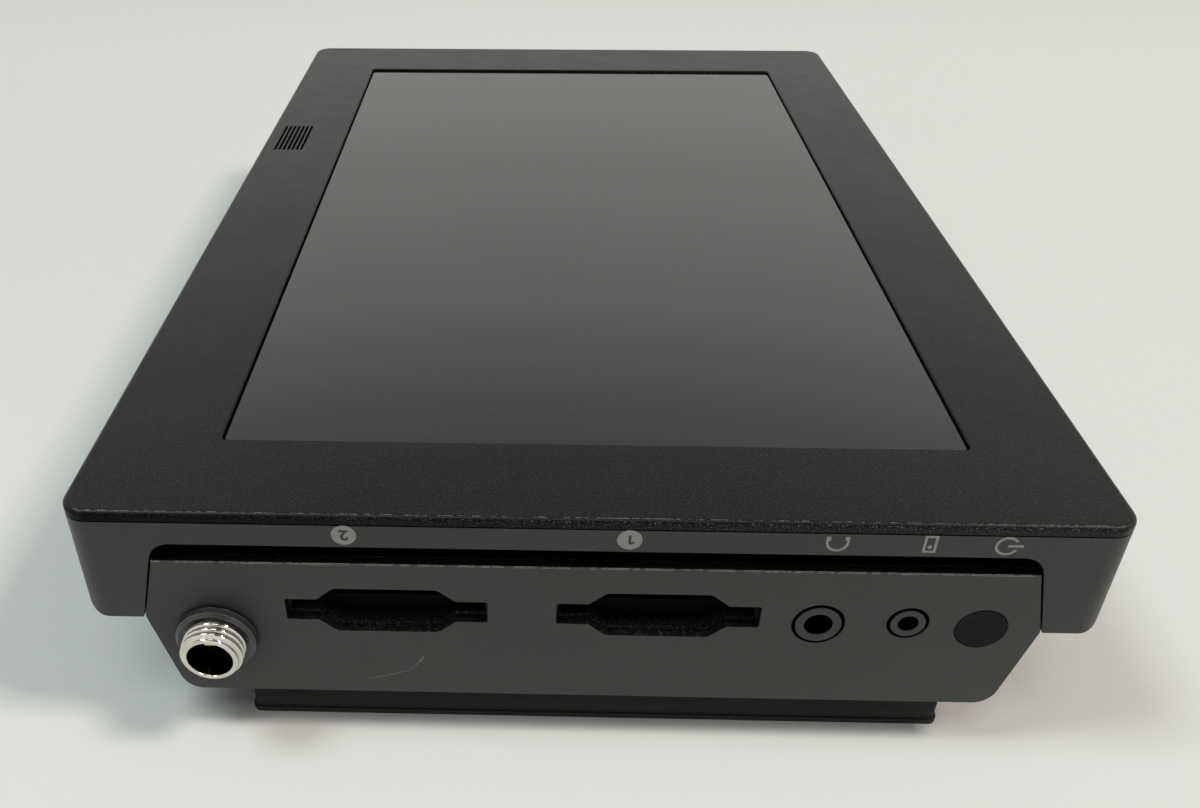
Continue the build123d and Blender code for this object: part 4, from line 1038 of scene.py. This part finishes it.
def two(name, x, z):
    """A plain 2 as a thin mesh, upside down on the port side."""
    writing = bpy.data.curves.new(name, "FONT")
    writing.body = "2"
    writing.size = numeral_height / digit_share * MM
    writing.extrude = digit_half
    writing.offset = digit_bold
    holder = bpy.data.objects.new(name + "_text", writing)
    bpy.context.scene.collection.objects.link(holder)
    bpy.context.view_layer.update()
    mesh = bpy.data.meshes.new_from_object(holder.evaluated_get(bpy.context.evaluated_depsgraph_get()))
    bpy.data.objects.remove(holder)
    middle = [(min(v.co[k] for v in mesh.vertices) + max(v.co[k] for v in mesh.vertices)) / 2 for k in (0, 1)]
    mesh.transform(Matrix.Translation((-middle[0], -middle[1], 0)))
    facing = Matrix(((-1, 0, 0), (0, 0, -1), (0, -1, 0))).to_4x4()
    mesh.transform(Matrix.Translation((x * MM, print_y - ink_height - digit_lift, z * MM)) @ facing)
    mesh.materials.clear()
    mesh.materials.append(finishes["housing"])
    piece = bpy.data.objects.new(name, mesh)
    bpy.context.scene.collection.objects.link(piece)
    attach(piece, "chassis")


for number, x in enumerate(disc_x, 1):
    printed(f"disc_{number}", x, disc_z, [arc(disc_radius, 0, 360 - 7.5, 47)])
stem_and_flag = [(-0.17, 0.72), (-0.17, -0.34), (-0.06, -0.72), (0.17, -0.72), (0.62, -0.44), (0.62, -0.20),
                 (0.17, -0.38), (0.17, 0.72)]
digit_height = ink_height + digit_half
one = printed("numeral_1", disc_x[0], disc_z, [stem_and_flag], finish="housing", raised=digit_height)
two("numeral_2", disc_x[1], disc_z)
print("card slots numbered")

# %% [markdown]
# ## Contacts in the sockets
#
# The video side is hidden in the photograph but shows from behind. Each tongue in a video or data socket
# carries a row of gold fingers on either side. They are many small equal shapes, so a loop lays each row out
# from the boxes of the sockets.

# %% Lay rows of fingers
finger_half = 0.05 * MM
tip_share = 0.4


def fingers(name, rows):
    """Thin strips with a narrowed tip. A row is (first x, last x, count, width, y_low, y_high, z, up)."""
    shape = bmesh.new()
    for x_first, x_last, count, width, y_low, y_high, z, up in rows:
        half = width / 2
        for index in range(count):
            x = x_first + (x_last - x_first) * index / (count - 1)
            outline = [(x - half, y_low), (x + half, y_low), (x + half, y_high - half),
                       (x + half * tip_share, y_high), (x - half * tip_share, y_high), (x - half, y_high - half)]
            sunk = [shape.verts.new((a, b, z - up * finger_half)) for a, b in outline]
            proud = [shape.verts.new((a, b, z + up * finger_half)) for a, b in outline]
            join_outlines(shape, sunk, proud)
    piece = settle(name, shape)
    piece.data.materials.append(finishes["gold"])
    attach(piece, "chassis")


# %% [markdown]
# A video socket has ten fingers above its tongue and nine below. A data socket has twelve narrow ones on both
# sides.

# %% Fill the video and data sockets
side_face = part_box("hdmi_socket_1")[1].y
tongue_share = 0.62
video_back = side_face - 10 * MM
video_tip = side_face - 2.1 * MM
video_width = 0.45 * MM
data_back = side_face - 6 * MM
data_tip = side_face - 1.2 * MM
data_width = 0.24 * MM
data_half = 2.75 * MM
rows = []
for number in (1, 2):
    low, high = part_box(f"hdmi_socket_{number}")
    middle = (low.x + high.x) / 2
    z = low.z + tongue_share * (high.z - low.z)
    for half_row, count, up in ((4.5 * MM, 10, 1), (4.0 * MM, 9, -1)):
        rows.append((middle - half_row, middle + half_row, count, video_width, video_back, video_tip,
                     z + up * 0.5 * MM, up))
low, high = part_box("usb_socket")
middle = (low.x + high.x) / 2
for up in (1, -1):
    rows.append((middle - data_half, middle + data_half, 12, data_width, data_back, data_tip,
                 (low.z + high.z) / 2 + up * 0.35 * MM, up))
fingers("socket_fingers", rows)
print(len(rows), "rows of contact fingers")

# %% [markdown]
# Each coaxial socket has a gold tube in its middle. It is turned like the barrel, and its tip is chamfered
# inside and out.

# %% Centre contacts of the coaxial sockets
tube_inner = 0.30 * MM
tube_outer = 0.58 * MM
tube_sides = 32
for number in (1, 2):
    low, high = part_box(f"sdi_socket_{number}")
    x = (low.x + high.x) / 2
    z = (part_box("sdi_nuts")[0].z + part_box("sdi_nuts")[1].z) / 2
    tip = high.y - 1.9 * MM
    foot = high.y - 7.4 * MM
    rings = [(foot, tube_inner), (tip - 0.2 * MM, tube_inner), (tip, 0.38 * MM), (tip, 0.50 * MM),
             (tip - 0.15 * MM, tube_outer), (foot, tube_outer)]
    contact = turned(f"coaxial_contact_{number}", rings, x, z, tube_sides)
    contact.data.materials.append(finishes["gold"])
    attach(contact, "chassis")
print("coaxial contacts in place")

# %% [markdown]
# ## Latch springs
#
# Each battery latch is pressed into the deck against a coil spring. The spring is wound again as a mesh in
# the box of its solid, with even turns and closed ends, and the solid is hidden.

# %% Wind the latch springs
spring_wire = 0.3 * MM
spring_turns = 4
steps_per_turn = 32
wire_sides = 12


def wind(name, low, high):
    """A coil between two corners of its box, with closed ends."""
    radius = (high.x - low.x) / 2 - spring_wire
    foot = Vector(((low.x + high.x) / 2, (low.y + high.y) / 2, low.z + spring_wire))
    height = high.z - low.z - 2 * spring_wire
    steps = spring_turns * steps_per_turn
    shape = bmesh.new()
    rings = []
    for step in range(steps + 1):
        angle = 2 * math.pi * step / steps_per_turn
        out = Vector((math.cos(angle), math.sin(angle), 0))
        along = Vector((-math.sin(angle), math.cos(angle), height / (2 * math.pi * spring_turns * radius)))
        across = along.normalized().cross(out)
        middle = foot + out * radius + Vector((0, 0, height * step / steps))
        ring = []
        for side in range(wire_sides):
            around = 2 * math.pi * side / wire_sides
            outwards = out * math.cos(around) + across * math.sin(around)
            ring.append(shape.verts.new(middle + outwards * spring_wire))
        rings.append(ring)
    join_rings(shape, rings)
    shape.faces.new(rings[0])
    shape.faces.new(rings[-1])
    return settle(name, shape)


for number in (1, 2):
    low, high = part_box(f"latch_spring_{number}")
    spring = wind(f"latch_coil_{number}", low, high)
    spring.data.materials.append(finishes["steel"])
    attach(spring, "chassis")
    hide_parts(f"latch_spring_{number}")
    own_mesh(spring)
print("latch springs wound")
